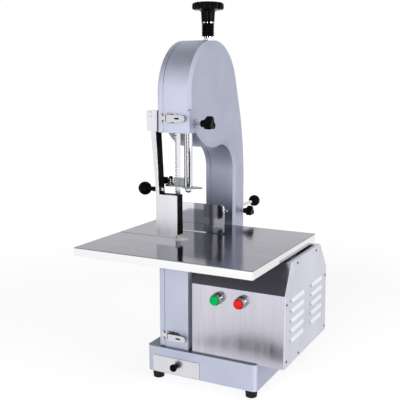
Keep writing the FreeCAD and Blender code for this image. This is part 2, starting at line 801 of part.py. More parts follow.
def upper_bearings():
    rings = []
    for x in (hub_left, hub_right - BEARING_WIDTH):
        ring = rod_x(x, x + BEARING_WIDTH, wheel_y, upper_z, BEARING_RADIUS)
        rings.append(
            ring.cut(rod_x(x - 1, x + BEARING_WIDTH + 1, wheel_y, upper_z, AXLE_RADIUS + RUNNING_FIT))
        )
    return group(*rings)


def tension_block():
    """Slide block with its T-shaped tongue, and the axle stub that carries the upper wheel."""
    body = box(
        block_left, rail_left - FLAT_GAP, wheel_y - BLOCK_HALF, wheel_y + BLOCK_HALF, block_low,
        block_low + BLOCK_HEIGHT,
    )
    tongue = box(
        rail_left - 1, web_face - FLAT_GAP, wheel_y - BLOCK_HALF / 2, wheel_y + BLOCK_HALF / 2, block_low,
        block_low + BLOCK_HEIGHT,
    )
    bore = rod_z_axis(
        TENSION_X, wheel_y, block_low - 1, block_low + BLOCK_HEIGHT + 1, SCREW_RADIUS + RUNNING_FIT
    )
    shank = rod_x(hub_left - 1, block_left + 1, wheel_y, upper_z, AXLE_RADIUS)
    nut = hexagon(Vector(hub_left - 7, wheel_y, upper_z), X_AXIS, 24.0, 6.0)
    return fuse(body, tongue, shank, nut).cut(bore)


collar_top = head_top + COLLAR_LENGTH
stack_top = collar_top + STACK_LENGTH
washer_top = stack_top + WASHER_THICKNESS
hub_top = washer_top + KNOB_HUB_LENGTH
knob_top = hub_top + KNOB_THICKNESS


def tension_collar():
    bottom = hexagon(Vector(TENSION_X, wheel_y, head_top), Z_AXIS, 2 * COLLAR_RADIUS - 2, 6.0)
    sleeve = rod_z_axis(TENSION_X, wheel_y, head_top, collar_top, COLLAR_RADIUS - 2)
    bore = rod_z_axis(TENSION_X, wheel_y, head_top - 5, collar_top + 1, SCREW_RADIUS + CURVE_GAP)
    return fuse(bottom, sleeve).cut(bore)


def disc_springs():
    """A stack of conical discs under a plain sleeve, on the outside of the screw."""
    rib = STACK_LENGTH * 0.75 / STACK_RIBS
    bore = SCREW_RADIUS + CURVE_GAP
    profile = [(0, bore)]
    for i in range(STACK_RIBS):
        profile.append((i * rib, STACK_RADIUS - 2.0))
        profile.append(((i + 0.5) * rib, STACK_RADIUS))
    profile.append((STACK_RIBS * rib, STACK_RADIUS - 2.0))
    profile.append((STACK_RIBS * rib, STACK_RADIUS))
    profile.append((STACK_LENGTH, STACK_RADIUS))
    profile.append((STACK_LENGTH, bore))
    return turned(profile, Vector(TENSION_X, wheel_y, collar_top), Z_AXIS)


def tension_screw():
    return rod_z_axis(TENSION_X, wheel_y, block_low - 6, hub_top + 4, SCREW_RADIUS)


def knob_washer():
    ring = rod_z_axis(TENSION_X, wheel_y, stack_top, washer_top, STACK_RADIUS + 0.8)
    return ring.cut(rod_z_axis(TENSION_X, wheel_y, stack_top - 1, washer_top + 1, SCREW_RADIUS))


def tension_knob():
    place = Vector(TENSION_X, wheel_y, hub_top)
    head = fluted(place, Z_AXIS, KNOB_RADIUS, KNOB_THICKNESS, KNOB_FLUTES, 6.0, 4.5)
    crown = Part.makeCone(KNOB_RADIUS + 9, KNOB_RADIUS - 6, KNOB_THICKNESS, place + Vector(0, 0, 0), Z_AXIS)
    dish = rod_z_axis(TENSION_X, wheel_y, knob_top - 2, knob_top + 1, KNOB_RADIUS - 14)
    hub = Part.makeCone(
        KNOB_HUB_RADIUS - 1.5, KNOB_HUB_RADIUS, KNOB_HUB_LENGTH, Vector(TENSION_X, wheel_y, washer_top)
    )
    body = fuse(head.common(crown).cut(dish), hub)
    return body.cut(rod_z_axis(TENSION_X, wheel_y, washer_top - 1, hub_top + 4, SCREW_RADIUS))


upper_wheel = moved(wheel(BEARING_RADIUS), y=wheel_y, z=upper_z)
lower_wheel = moved(wheel(SHAFT_RADIUS), y=wheel_y, z=lower_z)
write("upper_wheel", upper_wheel)
write("lower_wheel", lower_wheel)
write("upper_bearings", upper_bearings())
write("tension_block", tension_block())
write("tension_collar", tension_collar())
write("disc_springs", disc_springs())
write("tension_screw", tension_screw())
write("knob_washer", knob_washer())
write("tension_knob", tension_knob())


# ================================================================ motor
motor_left = frame_right + MOTOR_FLANGE


def motor_body():
    flange = rod_x(frame_right, motor_left, wheel_y, lower_z, MOTOR_FLANGE_RADIUS)
    barrel = rod_x(motor_left, motor_left + MOTOR_LENGTH, wheel_y, lower_z, MOTOR_RADIUS)
    cowl = rod_x(
        motor_left + MOTOR_LENGTH - 40, motor_left + MOTOR_LENGTH, wheel_y, lower_z, MOTOR_RADIUS + 4
    )
    fins = []
    for i in range(16):
        fin = box(
            motor_left + 14, motor_left + MOTOR_LENGTH - 40, -1.2, 1.2, MOTOR_RADIUS - 3, MOTOR_RADIUS + 4
        )
        fin = moved(fin, y=wheel_y, z=lower_z)
        fin.rotate(Vector(0, wheel_y, lower_z), X_AXIS, 22.5 * i)
        fins.append(fin)
    bore = rod_x(frame_right - 1, motor_left + SHAFT_SOCKET, wheel_y, lower_z, SHAFT_RADIUS + RUNNING_FIT)
    return fuse(flange, barrel, cowl, *fins).cut(bore)


def motor_shaft():
    shank = rod_x(hub_left - 1, motor_left + SHAFT_SOCKET - 1, wheel_y, lower_z, SHAFT_RADIUS)
    start = Vector(hub_left - SHAFT_NUT_HEIGHT - 1, wheel_y, lower_z)
    nut = hexagon(start, X_AXIS, SHAFT_NUT, SHAFT_NUT_HEIGHT)
    return fuse(shank, nut)


write("motor_body", motor_body())
write("motor_shaft", motor_shaft())


# ================================================================ motor housing
box_outline = [
    (BOX_FRONT, base_top),
    (BOX_FRONT, base_top + BOX_FRONT_HEIGHT),
    (BOX_FRONT + BOX_SLOPE_DEPTH, box_top),
    (BOX_TOP_BACK, box_top),
    (BOX_BACK_HIGH, base_top + BOX_BACK_HEIGHT),
    (BOX_BACK_LOW, base_top),
]


def folded_sheet(path, thickness, x0, x1):
    """A sheet folded along path (y, z), thickened to its right-hand side, drawn out along X."""
    points = [Vector(0, y, z) for y, z in path]
    shifted = []
    for i, here in enumerate(points):
        sides = []
        if i > 0:
            sides.append((here - points[i - 1]).normalize())
        if i < len(points) - 1:
            sides.append((points[i + 1] - here).normalize())
        normals = [Vector(0, d.z, -d.y) for d in sides]
        total = sum(normals[1:], normals[0]).normalize()
        shifted.append(here + total * (thickness / total.dot(normals[0])))
    outline = [(p.y, p.z) for p in points] + [(p.y, p.z) for p in reversed(shifted)]
    return prism_x(outline, x0, x1)


cover_right = box_right - BOX_SHEET
PANEL_RETURN = 10.0       # flange at the top of the front panel


def box_front_panel():
    low, high = box_outline[0], box_outline[1]
    panel = folded_sheet([low, high, (high[0] + PANEL_RETURN, high[1])], BOX_SHEET, BOX_LEFT, cover_right)
    for x in BUTTON_X:
        panel = panel.cut(
            rod_y(x, BOX_FRONT - 1, BOX_FRONT + 5, base_top + BUTTON_HEIGHT, BUTTON_RADIUS + 1)
        )
    return panel


def box_cover():
    lip = FLAT_GAP
    slope = box_outline[1:6]
    start = (slope[0][0] + lip, slope[0][1] + 2 * lip)
    cover = folded_sheet([start] + slope[1:], BOX_SHEET, BOX_LEFT, cover_right)
    gland = rod_y(gland_x, BOX_BACK_HIGH - 20, BOX_BACK_LOW + 5, gland_z, GLAND_RADIUS)
    below = box(BOX_LEFT - 1, cover_right + 1, BOX_BACK_LOW - 30, BOX_BACK_LOW + 1, base_top - 5, base_top)
    return cover.cut(gland).cut(below)


def box_inner_side():
    """The panel on the casting's side, with a round opening for the motor flange, and the floor."""
    panel = prism_x(inset_outline(BOX_SHEET), BOX_LEFT, BOX_LEFT + BOX_SHEET)
    reach_back = BOX_BACK_LOW - BOX_SHEET - 1.0
    floor = box(
        BOX_LEFT + BOX_SHEET - 1, cover_right, BOX_FRONT + BOX_SHEET, reach_back,
        base_top, base_top + BOX_SHEET,
    )
    notch = box(
        BOX_LEFT - 1, BOX_LEFT + 3, BOX_FRONT, BOX_FRONT + PANEL_RETURN + 0.5,
        base_top + BOX_FRONT_HEIGHT - BOX_SHEET - 0.2, base_top + BOX_FRONT_HEIGHT + 1,
    )
    panel = fuse(panel, floor).cut(notch)
    return panel.cut(rod_x(BOX_LEFT - 1, BOX_LEFT + 5, wheel_y, lower_z, MOTOR_FLANGE_RADIUS + 2))


def inset_outline(by):
    """The housing outline moved inwards all round."""
    middle_y = sum(p[0] for p in box_outline) / len(box_outline)
    middle_z = sum(p[1] for p in box_outline) / len(box_outline)
    shifted = []
    for i, here in enumerate(box_outline):
        before = box_outline[i - 1]
        after = box_outline[(i + 1) % len(box_outline)]
        lines = []
        for a, b in ((before, here), (here, after)):
            length = math.hypot(b[0] - a[0], b[1] - a[1])
            normal = ((b[1] - a[1]) / length, -(b[0] - a[0]) / length)
            if normal[0] * (middle_y - a[0]) + normal[1] * (middle_z - a[1]) < 0:
                normal = (-normal[0], -normal[1])
            lines.append((normal, normal[0] * a[0] + normal[1] * a[1] + by))
        (n1, d1), (n2, d2) = lines
        cross = n1[0] * n2[1] - n1[1] * n2[0]
        shifted.append(((d1 * n2[1] - d2 * n1[1]) / cross, (n1[0] * d2 - n2[0] * d1) / cross))
    return shifted


# front end, length, and height of the top louvre above the base
louvre_columns = ((189.0, 85.0, 155.0), (330.0, 82.0, 155.0))


def louvre(y0, length, z):
    """A pressed hood, open below, and the slot behind it."""
    top = z + LOUVRE_HEIGHT / 2
    low = z - LOUVRE_HEIGHT / 2
    skin = 1.0
    outline = rounded_face(
        rectangle(y0, y0 + length, low, top, LOUVRE_HEIGHT / 2 - 0.1), lambda p: Vector(
            box_right - 1, p.x, p.y
        )
    )
    limits = outline.extrude(Vector(LOUVRE_DEPTH + 2, 0, 0))
    wedge = prism_y(
        [(box_right - 0.5, top), (box_right + LOUVRE_DEPTH, low), (box_right - 0.5, low)], y0, y0 + length
    )
    hollow = moved(wedge, x=-skin * 1.3, z=-skin)
    inside = box(0, box_right + 50, y0 + 4 * skin, y0 + length - 4 * skin, low - 5, top)
    slot = box(
        box_right - BOX_SHEET - 1, box_right + 1, y0 + 6 * skin, y0 + length - 6 * skin, low + 1, top - 2.5
    )
    return wedge.common(limits), hollow.common(inside), slot


side_screw_places = [
    (BOX_FRONT + 10, base_top + 151), (BOX_FRONT + 14, base_top + 15), (BOX_FRONT + 77, box_top - 10),
    (BOX_TOP_BACK - 31, box_top - 10), (BOX_BACK_HIGH - 5, base_top + 151),
    (BOX_BACK_LOW - 7, base_top + 12),
    (BOX_FRONT + 95, base_top + 8),
]
SIDE_SCREW_RADIUS = 3.0


def box_side_panel():
    panel = prism_x([(y, z, 2.0) for y, z in box_outline], box_right - BOX_SHEET, box_right)
    hoods, hollows, slots = [], [], []
    for y0, length, top in louvre_columns:
        for i in range(LOUVRES):
            hood, hollow, slot = louvre(y0, length, base_top + top - i * LOUVRE_PITCH)
            hoods.append(hood)
            hollows.append(hollow)
            slots.append(slot)
    panel = panel.cut(group(*slots)).multiFuse(hoods).cut(group(*hollows))
    for y, z in side_screw_places:
        panel = panel.cut(rod_x(box_right - 5, box_right + 1, y, z, SIDE_SCREW_RADIUS / 2))
    return panel.removeSplitter()


def side_screws():
    screws = []
    for y, z in side_screw_places:
        shank = rod_x(box_right - BOX_SHEET - 6, box_right, y, z, SIDE_SCREW_RADIUS / 2)
        head = Part.makeCone(
            SIDE_SCREW_RADIUS, SIDE_SCREW_RADIUS - 1, screw_heads, Vector(box_right, y, z), X_AXIS
        )
        screws.append(fuse(shank, head))
    return group(*screws)


GLAND_RADIUS = 9.0
GLAND_BORE = 4.0
gland_x = box_right - 45
gland_z = base_top + 45


def cable_gland():
    """Cord inlet through the back panel, with a lock nut outside."""
    lean = BOX_BACK_LOW - 4
    body = rod_y(gland_x, lean - 12, lean + 12, gland_z, GLAND_RADIUS)
    nut = hexagon(Vector(gland_x, lean + 3, gland_z), Y_AXIS, 24.0, 6.0)
    return fuse(body, nut).cut(rod_y(gland_x, lean - 13, lean + 13, gland_z, GLAND_BORE))


write("box_front_panel", box_front_panel())
write("box_cover", box_cover())
write("box_inner_side", box_inner_side())
write("box_side_panel", box_side_panel())
write("side_screws", side_screws())
write("cable_gland", cable_gland())


# ================================================================ push buttons
button_z = base_top + BUTTON_HEIGHT


def button_bezels():
    solids = []
    for x in BUTTON_X:
        profile = [
            (0, BUTTON_RADIUS + CURVE_GAP), (0, 14.5), (2.5, 14.5), (4, 13.4), (BUTTON_REACH - 1, 13.4),
            (BUTTON_REACH, 12.6), (BUTTON_REACH, BUTTON_RADIUS + CURVE_GAP),
        ]
        solids.append(turned(profile, Vector(x, BOX_FRONT, button_z), Vector(0, -1, 0)))
    return group(*solids)


def button_cap(x):
    profile = [
        (-4, 0), (-4, BUTTON_RADIUS - 1), (0, BUTTON_RADIUS),
        (BUTTON_PROUD + BUTTON_REACH - 1.5, BUTTON_RADIUS),
        (BUTTON_PROUD + BUTTON_REACH, BUTTON_RADIUS - 1.5), (BUTTON_PROUD + BUTTON_REACH, 0),
    ]
    return turned(profile, Vector(x, BOX_FRONT, button_z), Vector(0, -1, 0))


def switch_blocks():
    solids = []
    deep = BOX_FRONT + BOX_SHEET
    for x in BUTTON_X:
        body = box(x - 15, x + 15, deep, deep + 38, button_z - 15, button_z + 15)
        solids.append(
            body.cut(rod_y(x, deep - 1, deep + BUTTON_TRAVEL + 8, button_z, BUTTON_RADIUS + CURVE_GAP))
        )
    return group(*solids)


write("button_bezels", button_bezels())
write("start_button", button_cap(BUTTON_X[0]))
write("stop_button", button_cap(BUTTON_X[1]))
write("switch_blocks", switch_blocks())


# ================================================================ blade guide on its post
bracket_low = table_top + GUIDE_HEIGHT
bracket_high = bracket_low + BRACKET_THICKNESS
POST_NECK = 6.0
BRACKET_END = 9.0         # bracket to the left of the pin
BRACKET_TIP = 40.0        # and its point to the right of the post
block_back = BLADE_LEFT + BLADE_WIDTH


def guide_post():
    """Round post, its neck through the bracket and the dome nut under it."""
    shaft = rod_z_axis(POST_X, POST_Y, bracket_high, bracket_high + POST_LENGTH, POST_RADIUS)
    neck = rod_z_axis(POST_X, POST_Y, bracket_low - 1, bracket_high + 1, POST_NECK)
    profile = [(0, 0), (0, 8.5), (5, 8.5), (9, 6.5), (12, 0)]
    nut = turned(profile, Vector(POST_X, POST_Y, bracket_low), Vector(0, 0, -1))
    return fuse(shaft, neck, nut)


def guide_bracket():
    front = CUT_LINE - 5.0
    plate = prism_z(
        [
            (PIN_X - BRACKET_END, front, 3), (block_back + 14, front), (block_back + 14, POST_Y - 12, 2),
            (POST_X + 14, POST_Y - 12, 4), (POST_X + BRACKET_TIP, POST_Y + 2, 3),
            (POST_X + 16, POST_Y + 13, 4), (PIN_X + 16, PIN_Y + 8, 6),
            (PIN_X - BRACKET_END, PIN_Y + 8, 8),
        ],
        bracket_low, bracket_high,
    )
    slot = box(0, block_back + 1.5, CUT_LINE - 1.2, CUT_LINE + 1.8, bracket_low - 1, bracket_high + 1)
    holes = fuse(
        rod_z_axis(POST_X, POST_Y, bracket_low - 1, bracket_high + 1, POST_NECK),
        rod_z_axis(PIN_X, PIN_Y, bracket_low - 1, bracket_high + 1, PIN_RADIUS / 2),
    )
    return plate.cut(slot).cut(holes)


def guide_blocks():
    """Two side blocks against the blade and a hardened back block, on the bracket."""
    high = bracket_high + GUIDE_BLOCK_HEIGHT
    blade_gap = CURVE_GAP
    front = box(BLADE_LEFT + 4, block_back, CUT_LINE - 5, CUT_LINE - blade_gap, bracket_high, high)
    rear = box(
        BLADE_LEFT - 4, block_back, CUT_LINE + BLADE_THICKNESS + blade_gap, CUT_LINE + 12, bracket_high, high
    )
    back = box(
        block_back + blade_gap + 0.2, POST_X - POST_RADIUS - 1, CUT_LINE - 5, CUT_LINE + 12, bracket_high, high
    )
    groove = rod_z_axis(block_back + 6, CUT_LINE + 12, bracket_high + 4, high - 4, 4.0)
    return group(front, rear.cut(groove), back.cut(groove))


def guide_pin():
    collar = rod_z_axis(PIN_X, PIN_Y, bracket_high, bracket_high + 2.5, PIN_RADIUS + 2.3)
    shaft = rod_z_axis(PIN_X, PIN_Y, bracket_high, bracket_high + PIN_HEIGHT, PIN_RADIUS)
    foot = rod_z_axis(PIN_X, PIN_Y, bracket_low, bracket_high + 1, PIN_RADIUS / 2)
    side_hole = rod_x(PIN_X - PIN_RADIUS - 3, PIN_X, PIN_Y, side_knob_z, SIDE_SHANK + RUNNING_FIT)
    return fuse(collar, shaft, foot).cut(side_hole)


def pin_cap():
    profile = [(0, 0), (0, 5.2), (3, 5.2), (5, 3.8), (6, 0)]
    return turned(profile, Vector(PIN_X, PIN_Y, bracket_high + PIN_HEIGHT), Z_AXIS)


SIDE_SHANK = 2.5
side_knob_z = bracket_high + PIN_HEIGHT / 2 + 1
side_knob_right = PIN_X - BRACKET_END - 0.6


def guide_side_knob():
    head = fluted(Vector(side_knob_right - 13, PIN_Y, side_knob_z), X_AXIS, 9.5, 13, 6, 3.5, 2.2)
    shank = rod_x(side_knob_right - 2, PIN_X - 1, PIN_Y, side_knob_z, SIDE_SHANK)
    return fuse(head, shank)


def clamp_knob(tip_x, face_x, y, z, stem, size, head):
    """Three-winged hand knob on a plain stem along X."""
    head_x = face_x + stem
    shank = rod_x(tip_x, head_x + 5, y, z, CLAMP_STEM_RADIUS)
    hub = Part.makeCone(size * 0.42, size * 0.62, head * 0.55, Vector(head_x, y, z), X_AXIS)
    wings = []
    for i in range(3):
        turn = math.radians(90 + 120 * i)
        tip_y = math.cos(turn) * size * 0.62
        tip_z = math.sin(turn) * size * 0.62
        wing = rod_x(head_x + head * 0.4, head_x + head, y + tip_y, z + tip_z, size * 0.38)
        web = box(head_x + head * 0.4, head_x + head, -size * 0.3, size * 0.3, 0, size * 0.62)
        web = moved(web, y=y, z=z)
        web.rotate(Vector(0, y, z), X_AXIS, 120 * i)
        wings.append(wing)
        wings.append(web)
    return fuse(shank, hub, rod_x(head_x + head * 0.4, head_x + head - 1, y, z, size * 0.5), *wings)


write("guide_post", guide_post())
write("guide_bracket", guide_bracket())
write("guide_blocks", guide_blocks())
write("guide_pin", guide_pin())
write("pin_cap", pin_cap())
write("guide_side_knob", guide_side_knob())
guide_knob = clamp_knob(
    POST_X + POST_RADIUS + CURVE_GAP, frame_right, POST_Y, guide_clamp_z, CLAMP_STEM, CLAMP_RADIUS, CLAMP_HEAD
)
write("guide_clamp_knob", guide_knob)


# ================================================================ lower guide and scraper
def lower_guide():
    """Two fixed blocks beside the blade under the table, joined behind it and screwed to the roof."""
    low = housing_top - CASTING_WALL - 26
    high = housing_top - CASTING_WALL
    left = BLADE_LEFT + TOOTH_DEPTH + 1
    right = block_back + 14
    near = CUT_LINE - SLOT_MARGIN - 8
    body = box(left, right, near, CUT_LINE + 4.5, low, high)
    return body.cut(
        box(left - 1, block_back + 0.5, CUT_LINE - CURVE_GAP, CUT_LINE + 0.9, low - 1, high + 1)
    )


def blade_scraper():
    """A plastic wiper on an arm from the web, ahead of the descending run."""
    arm = box(block_back + 6, web_face, CUT_LINE - 16, CUT_LINE - 10, lower_z + 30, lower_z + 44)
    wiper = box(
        BLADE_LEFT + 4, block_back + 6, CUT_LINE - 16, CUT_LINE - CURVE_GAP, lower_z + 30, lower_z + 44
    )
    return fuse(arm, wiper)


write("lower_guide", lower_guide())
write("blade_scraper", blade_scraper())


# ================================================================ pusher on the door
pivot_z = table_top + PIVOT_HEIGHT
push_low = table_top + PUSHER_FLOOR
push_step = table_top + PUSHER_STEP
push_back = PUSHER_FRONT + PUSHER_DEPTH
leg_bend = push_step + 16.0
bracket_foot = pivot_z - 40.0
LEG_TOP_WIDTH = 13.8
LEG_LOW_WIDTH = 8.5
LEG_TOP_LEFT = 116.5


def pusher_plate():
    """Bright front plate: a narrow leaning arm above, a wide upright blade-side plate below."""
    outline = [
        (PUSHER_LEFT, push_low, 1.5),
        (PUSHER_RIGHT, push_low + 1.5, 1.5),
        (PUSHER_RIGHT, push_step),
        (PUSHER_LEFT + LEG_LOW_WIDTH, push_step, 1.5),
        (PUSHER_LEFT + LEG_LOW_WIDTH - 1, leg_bend),
        (LEG_TOP_LEFT + LEG_TOP_WIDTH, bracket_foot),
        (PIVOT_X + 7.5, pivot_z),
        (PIVOT_X + 7.5, pivot_z + 7.5, 6),
        (PIVOT_X - 7.5, pivot_z + 7.5, 6),
        (PIVOT_X - 7.5, pivot_z),
        (LEG_TOP_LEFT, bracket_foot),
        (PUSHER_LEFT - 1, leg_bend),
    ]
    plate = prism_y(outline, PUSHER_FRONT, PUSHER_FRONT + PUSHER_PLATE)
    return plate.cut(
        rod_y(PIVOT_X, PUSHER_FRONT - 1, PUSHER_FRONT + 5, pivot_z, PIVOT_RADIUS + RUNNING_FIT)
    )


def pusher_rail():
    """Black channel along the right-hand edge of the plate, with grip teeth near its foot."""
    inner = PUSHER_RAIL
    step_x = PUSHER_LEFT + LEG_LOW_WIDTH
    foot = push_low + 3.0
    teeth = 8
    pitch = 3.4
    edge = [(PUSHER_RIGHT + 0.2, push_step)]
    for i in range(teeth):
        z = foot + (teeth - i) * pitch
        edge.append((PUSHER_RIGHT + 0.2, z))
        edge.append((PUSHER_RIGHT + 1.8, z - pitch / 2))
    edge.append((PUSHER_RIGHT + 0.2, foot))
    outline = edge + [
        (PUSHER_RIGHT - inner, foot),
        (PUSHER_RIGHT - inner, push_step - inner),
        (step_x - inner, push_step - inner),
        (step_x - inner - 1, leg_bend),
        (LEG_TOP_LEFT + LEG_TOP_WIDTH - inner, bracket_foot - 2),
        (PIVOT_X + 7.5 - inner, pivot_z - 9),
        (PIVOT_X + 7.5, pivot_z - 9),
        (LEG_TOP_LEFT + LEG_TOP_WIDTH, bracket_foot - 2),
        (step_x - 1, leg_bend),
        (step_x, push_step),
    ]
    rail = prism_y(outline, PUSHER_FRONT + PUSHER_PLATE, push_back)
    upper = box(0, PIVOT_X + 40, 0, push_back + 1, bracket_foot - 2, pivot_z)
    shallow = rail.cut(upper).fuse(
        rail.common(box(0, PUSHER_RIGHT, 0, PUSHER_FRONT + RAIL_SHALLOW, bracket_foot - 3, pivot_z))
    )
    bolt = rod_x(0, PUSHER_RIGHT + 1, push_mid, ball_z, BOLT_RADIUS)
    return shallow.removeSplitter().cut(bolt)


PIVOT_RADIUS = 4.0
push_mid = PUSHER_FRONT + PUSHER_DEPTH / 2
ball_z = push_step + 10.0
ball_x = PUSHER_LEFT - 39.0


def pusher_handle():
    """Ball with its tapered neck, turned in one piece, on the left of the arm."""
    reach = PUSHER_LEFT + 1.0 - ball_x
    taper = (HANDLE_NECK_WIDE - HANDLE_NECK) / (reach - BALL_RADIUS)
    start = HANDLE_NECK - BALL_RADIUS * taper
    root = (start * taper) ** 2 - (1 + taper ** 2) * (start ** 2 - BALL_RADIUS ** 2)
    join = (math.sqrt(root) - start * taper) / (1 + taper ** 2)
    bore = BOLT_RADIUS + CURVE_GAP

    def at(along, radius):
        return Vector(ball_x + along, push_mid, ball_z + radius)

    corners = [
        at(join, start + taper * join), at(reach, HANDLE_NECK_WIDE), at(reach, bore), at(0, bore), at(0, 0),
        at(-BALL_RADIUS, 0),
    ]
    round_end = Part.Arc(corners[-1], at(0, BALL_RADIUS), corners[0]).toShape()
    straight = [Part.makeLine(corners[i], corners[i + 1]) for i in range(len(corners) - 1)]
    outline = Part.Face(Part.Wire([round_end] + straight))
    return outline.revolve(at(0, 0), X_AXIS, 360)


def pusher_bolt():
    """Through bolt that holds the ball handle, with its head on the black rail."""
    right = PUSHER_LEFT + LEG_LOW_WIDTH
    shank = rod_x(ball_x, right + 0.2, push_mid, ball_z, BOLT_RADIUS)
    head = Part.makeCone(5.0, 3.8, 3.0, Vector(right, push_mid, ball_z), X_AXIS)
    sleeve = rod_x(PUSHER_LEFT + 1.0, right - PUSHER_RAIL - 1.8, push_mid, ball_z, 5.0)
    return fuse(shank, head, sleeve)


CHEEK = 2.5
bracket_left = PIVOT_X - 10.5
WEB_X = 131.5


def pusher_bracket():
    """Two cheeks on a foot that is screwed to the door, with the slotted pivot pin through them."""
    low = bracket_foot
    high = pivot_z + 9.0
    cheek = prism_y(
        [(bracket_left, low, 1.0), (FRAME_LEFT, low), (FRAME_LEFT, high), (bracket_left, high, 1.0)],
        PUSHER_FRONT - FLAT_GAP - CHEEK, PUSHER_FRONT - FLAT_GAP,
    )
    rear = moved(cheek, y=PUSHER_PLATE + 2 * FLAT_GAP + CHEEK + 10)
    foot = box(WEB_X, FRAME_LEFT, PUSHER_FRONT - FLAT_GAP - CHEEK, PUSHER_FRONT + 15.9, low, high)
    front = PUSHER_FRONT - FLAT_GAP - CHEEK
    pin = rod_y(PIVOT_X, front, PUSHER_FRONT + 15, pivot_z, PIVOT_RADIUS)
    head = Part.makeCone(5.6, 6.5, 2.0, Vector(PIVOT_X, front - 2, pivot_z), Y_AXIS)
    slot = box(PIVOT_X - 0.7, PIVOT_X + 0.7, front - 3, front - 1, pivot_z - 8, pivot_z + 8)
    return fuse(cheek, rear, foot, pin, head).cut(slot)


write("pusher_plate", pusher_plate())
write("pusher_rail", pusher_rail())
write("pusher_handle", pusher_handle())
write("pusher_bolt", pusher_bolt())
write("pusher_bracket", pusher_bracket())


# ================================================================ fence
fence_low = table_top + FENCE_FLOOR
fence_back = FENCE_Y + FENCE_PLATE


def fence_plate():
    top = fence_low + FENCE_HEIGHT
    plate = prism_y(
        [(FENCE_LEFT, fence_low, 6), (FENCE_RIGHT, fence_low, 6), (FENCE_RIGHT, top, 10), (
            FENCE_LEFT, top, 10
        )],
        FENCE_Y, fence_back,
    )
    boss = rod_y(ROD_X, fence_back - 1, fence_back + 12, rod_z, 10.0)
    lug = box(
        FENCE_RIGHT - 14, FENCE_RIGHT - 2, fence_back - 1, fence_back + 8, fence_low + 52, fence_low + 62
    )
    stud = rod_x(FENCE_RIGHT - 3, FENCE_RIGHT + 6, fence_back + 4, fence_low + 57, 2.5)
    return fuse(plate, boss, lug, stud).cut(rod_y(ROD_X, fence_back, fence_back + 13, rod_z, ROD_RADIUS))


def fence_rod():
    return rod_y(ROD_X, fence_back, ROD_BACK + 8, rod_z, ROD_RADIUS)


def fence_ball():
    """Ball knob on the rod's free end."""
    centre = ROD_BACK + BALL_RADIUS - 4.0
    neck = Part.makeCone(7.5, 9.0, 6.0, Vector(ROD_X, ROD_BACK - 4, rod_z), Y_AXIS)
    body = fuse(ball(ROD_X, centre, rod_z, BALL_RADIUS), neck)
    return body.cut(rod_y(ROD_X, ROD_BACK - 5, ROD_BACK + 8, rod_z, ROD_RADIUS))


def rod_bush():
    body = rod_y(ROD_X, neck_front - 3, neck_back + 4, rod_z, BUSH_RADIUS)
    flange = rod_y(ROD_X, neck_back, neck_back + 4, rod_z, BUSH_RADIUS + 4)
    bore = rod_y(ROD_X, neck_front - 5, neck_back + 5, rod_z, ROD_RADIUS + RUNNING_FIT)
    screw_way = rod_x(ROD_X, frame_right, fence_clamp_y, rod_z, CLAMP_STEM_RADIUS + RUNNING_FIT)
    return fuse(body, flange).cut(bore).cut(screw_way)


write("fence_plate", fence_plate())
write("fence_rod", fence_rod())
write("fence_ball", fence_ball())
write("rod_bush", rod_bush())
fence_knob = clamp_knob(
    ROD_X + ROD_RADIUS + CURVE_GAP, frame_right, fence_clamp_y, rod_z, 9.0, 15.0, 24.0
)
write("fence_clamp_knob", fence_knob)


# ================================================================ toggle latches on the front seam
PLATE = 1.2
LEVER_PIVOT_X = 166.0
LEVER_PIVOT_REACH = 7.5   # pivot in front of the casting's face
LEVER_PIN = 1.3
LEVER_HALF = 8.2
LEVER_LENGTH = 49.0
LOOP_PIN_OFFSET = 8.0     # loop pivot behind the lever's pivot
LOOP_PIN_REACH = 3.2      # loop pivot in front of the casting's face
LOOP_PIN = 1.1
WIRE = 1.2                # half thickness of the loop
LOOP_LENGTH = 15.0
KEEPER_X = 148.8
RIVET_OFFSET = 7.3
WING_HALF = 12.0
lever_pivot_y = FRAME_FRONT - LEVER_PIVOT_REACH
lever_tip = LEVER_PIVOT_X + LEVER_LENGTH
bail_pivot_x = LEVER_PIVOT_X + LOOP_PIN_OFFSET
bail_pin_y = FRAME_FRONT - LOOP_PIN_REACH
bail_left = bail_pivot_x - LOOP_LENGTH
lever_heel = LEVER_PIVOT_X - 2.5
arm_inner = LEVER_HALF + FLAT_GAP
arm_outer = arm_inner + 2.0
EAR_HALF = 6.6            # outside of the ears, inside the lever's walls
EAR_RADIUS = 2.5


def latch_base(z):
    """Winged plate with two ears between the lever's walls, and the lever's pin through them."""
    left = LEVER_PIVOT_X - 3
    wing_left = LEVER_PIVOT_X + 4
    wing_right = LEVER_PIVOT_X + 20
    right = LEVER_PIVOT_X + 30
    outline = [
        (left, z - EAR_HALF), (wing_left, z - WING_HALF, 2),
        (wing_right, z - WING_HALF, 3), (right, z - EAR_HALF, 3),
        (right, z + EAR_HALF, 3), (wing_right, z + WING_HALF, 3),
        (wing_left, z + WING_HALF, 2), (left, z + EAR_HALF),
    ]
    plate = prism_y(outline, FRAME_FRONT - PLATE, FRAME_FRONT)
    ears = []
    for side in (-1, 1):
        near = z + side * (EAR_HALF - PLATE)
        far = z + side * EAR_HALF
        low = min(near, far)
        ears.append(rod_z_axis(LEVER_PIVOT_X, lever_pivot_y, low, low + PLATE, EAR_RADIUS))
        ears.append(box(
            LEVER_PIVOT_X - EAR_RADIUS, LEVER_PIVOT_X + EAR_RADIUS,
            lever_pivot_y, FRAME_FRONT - 0.5, low, low + PLATE,
        ))
    pin = rod_z_axis(LEVER_PIVOT_X, lever_pivot_y, z - LEVER_HALF, z + LEVER_HALF, LEVER_PIN)
    return fuse(plate, pin, *ears)


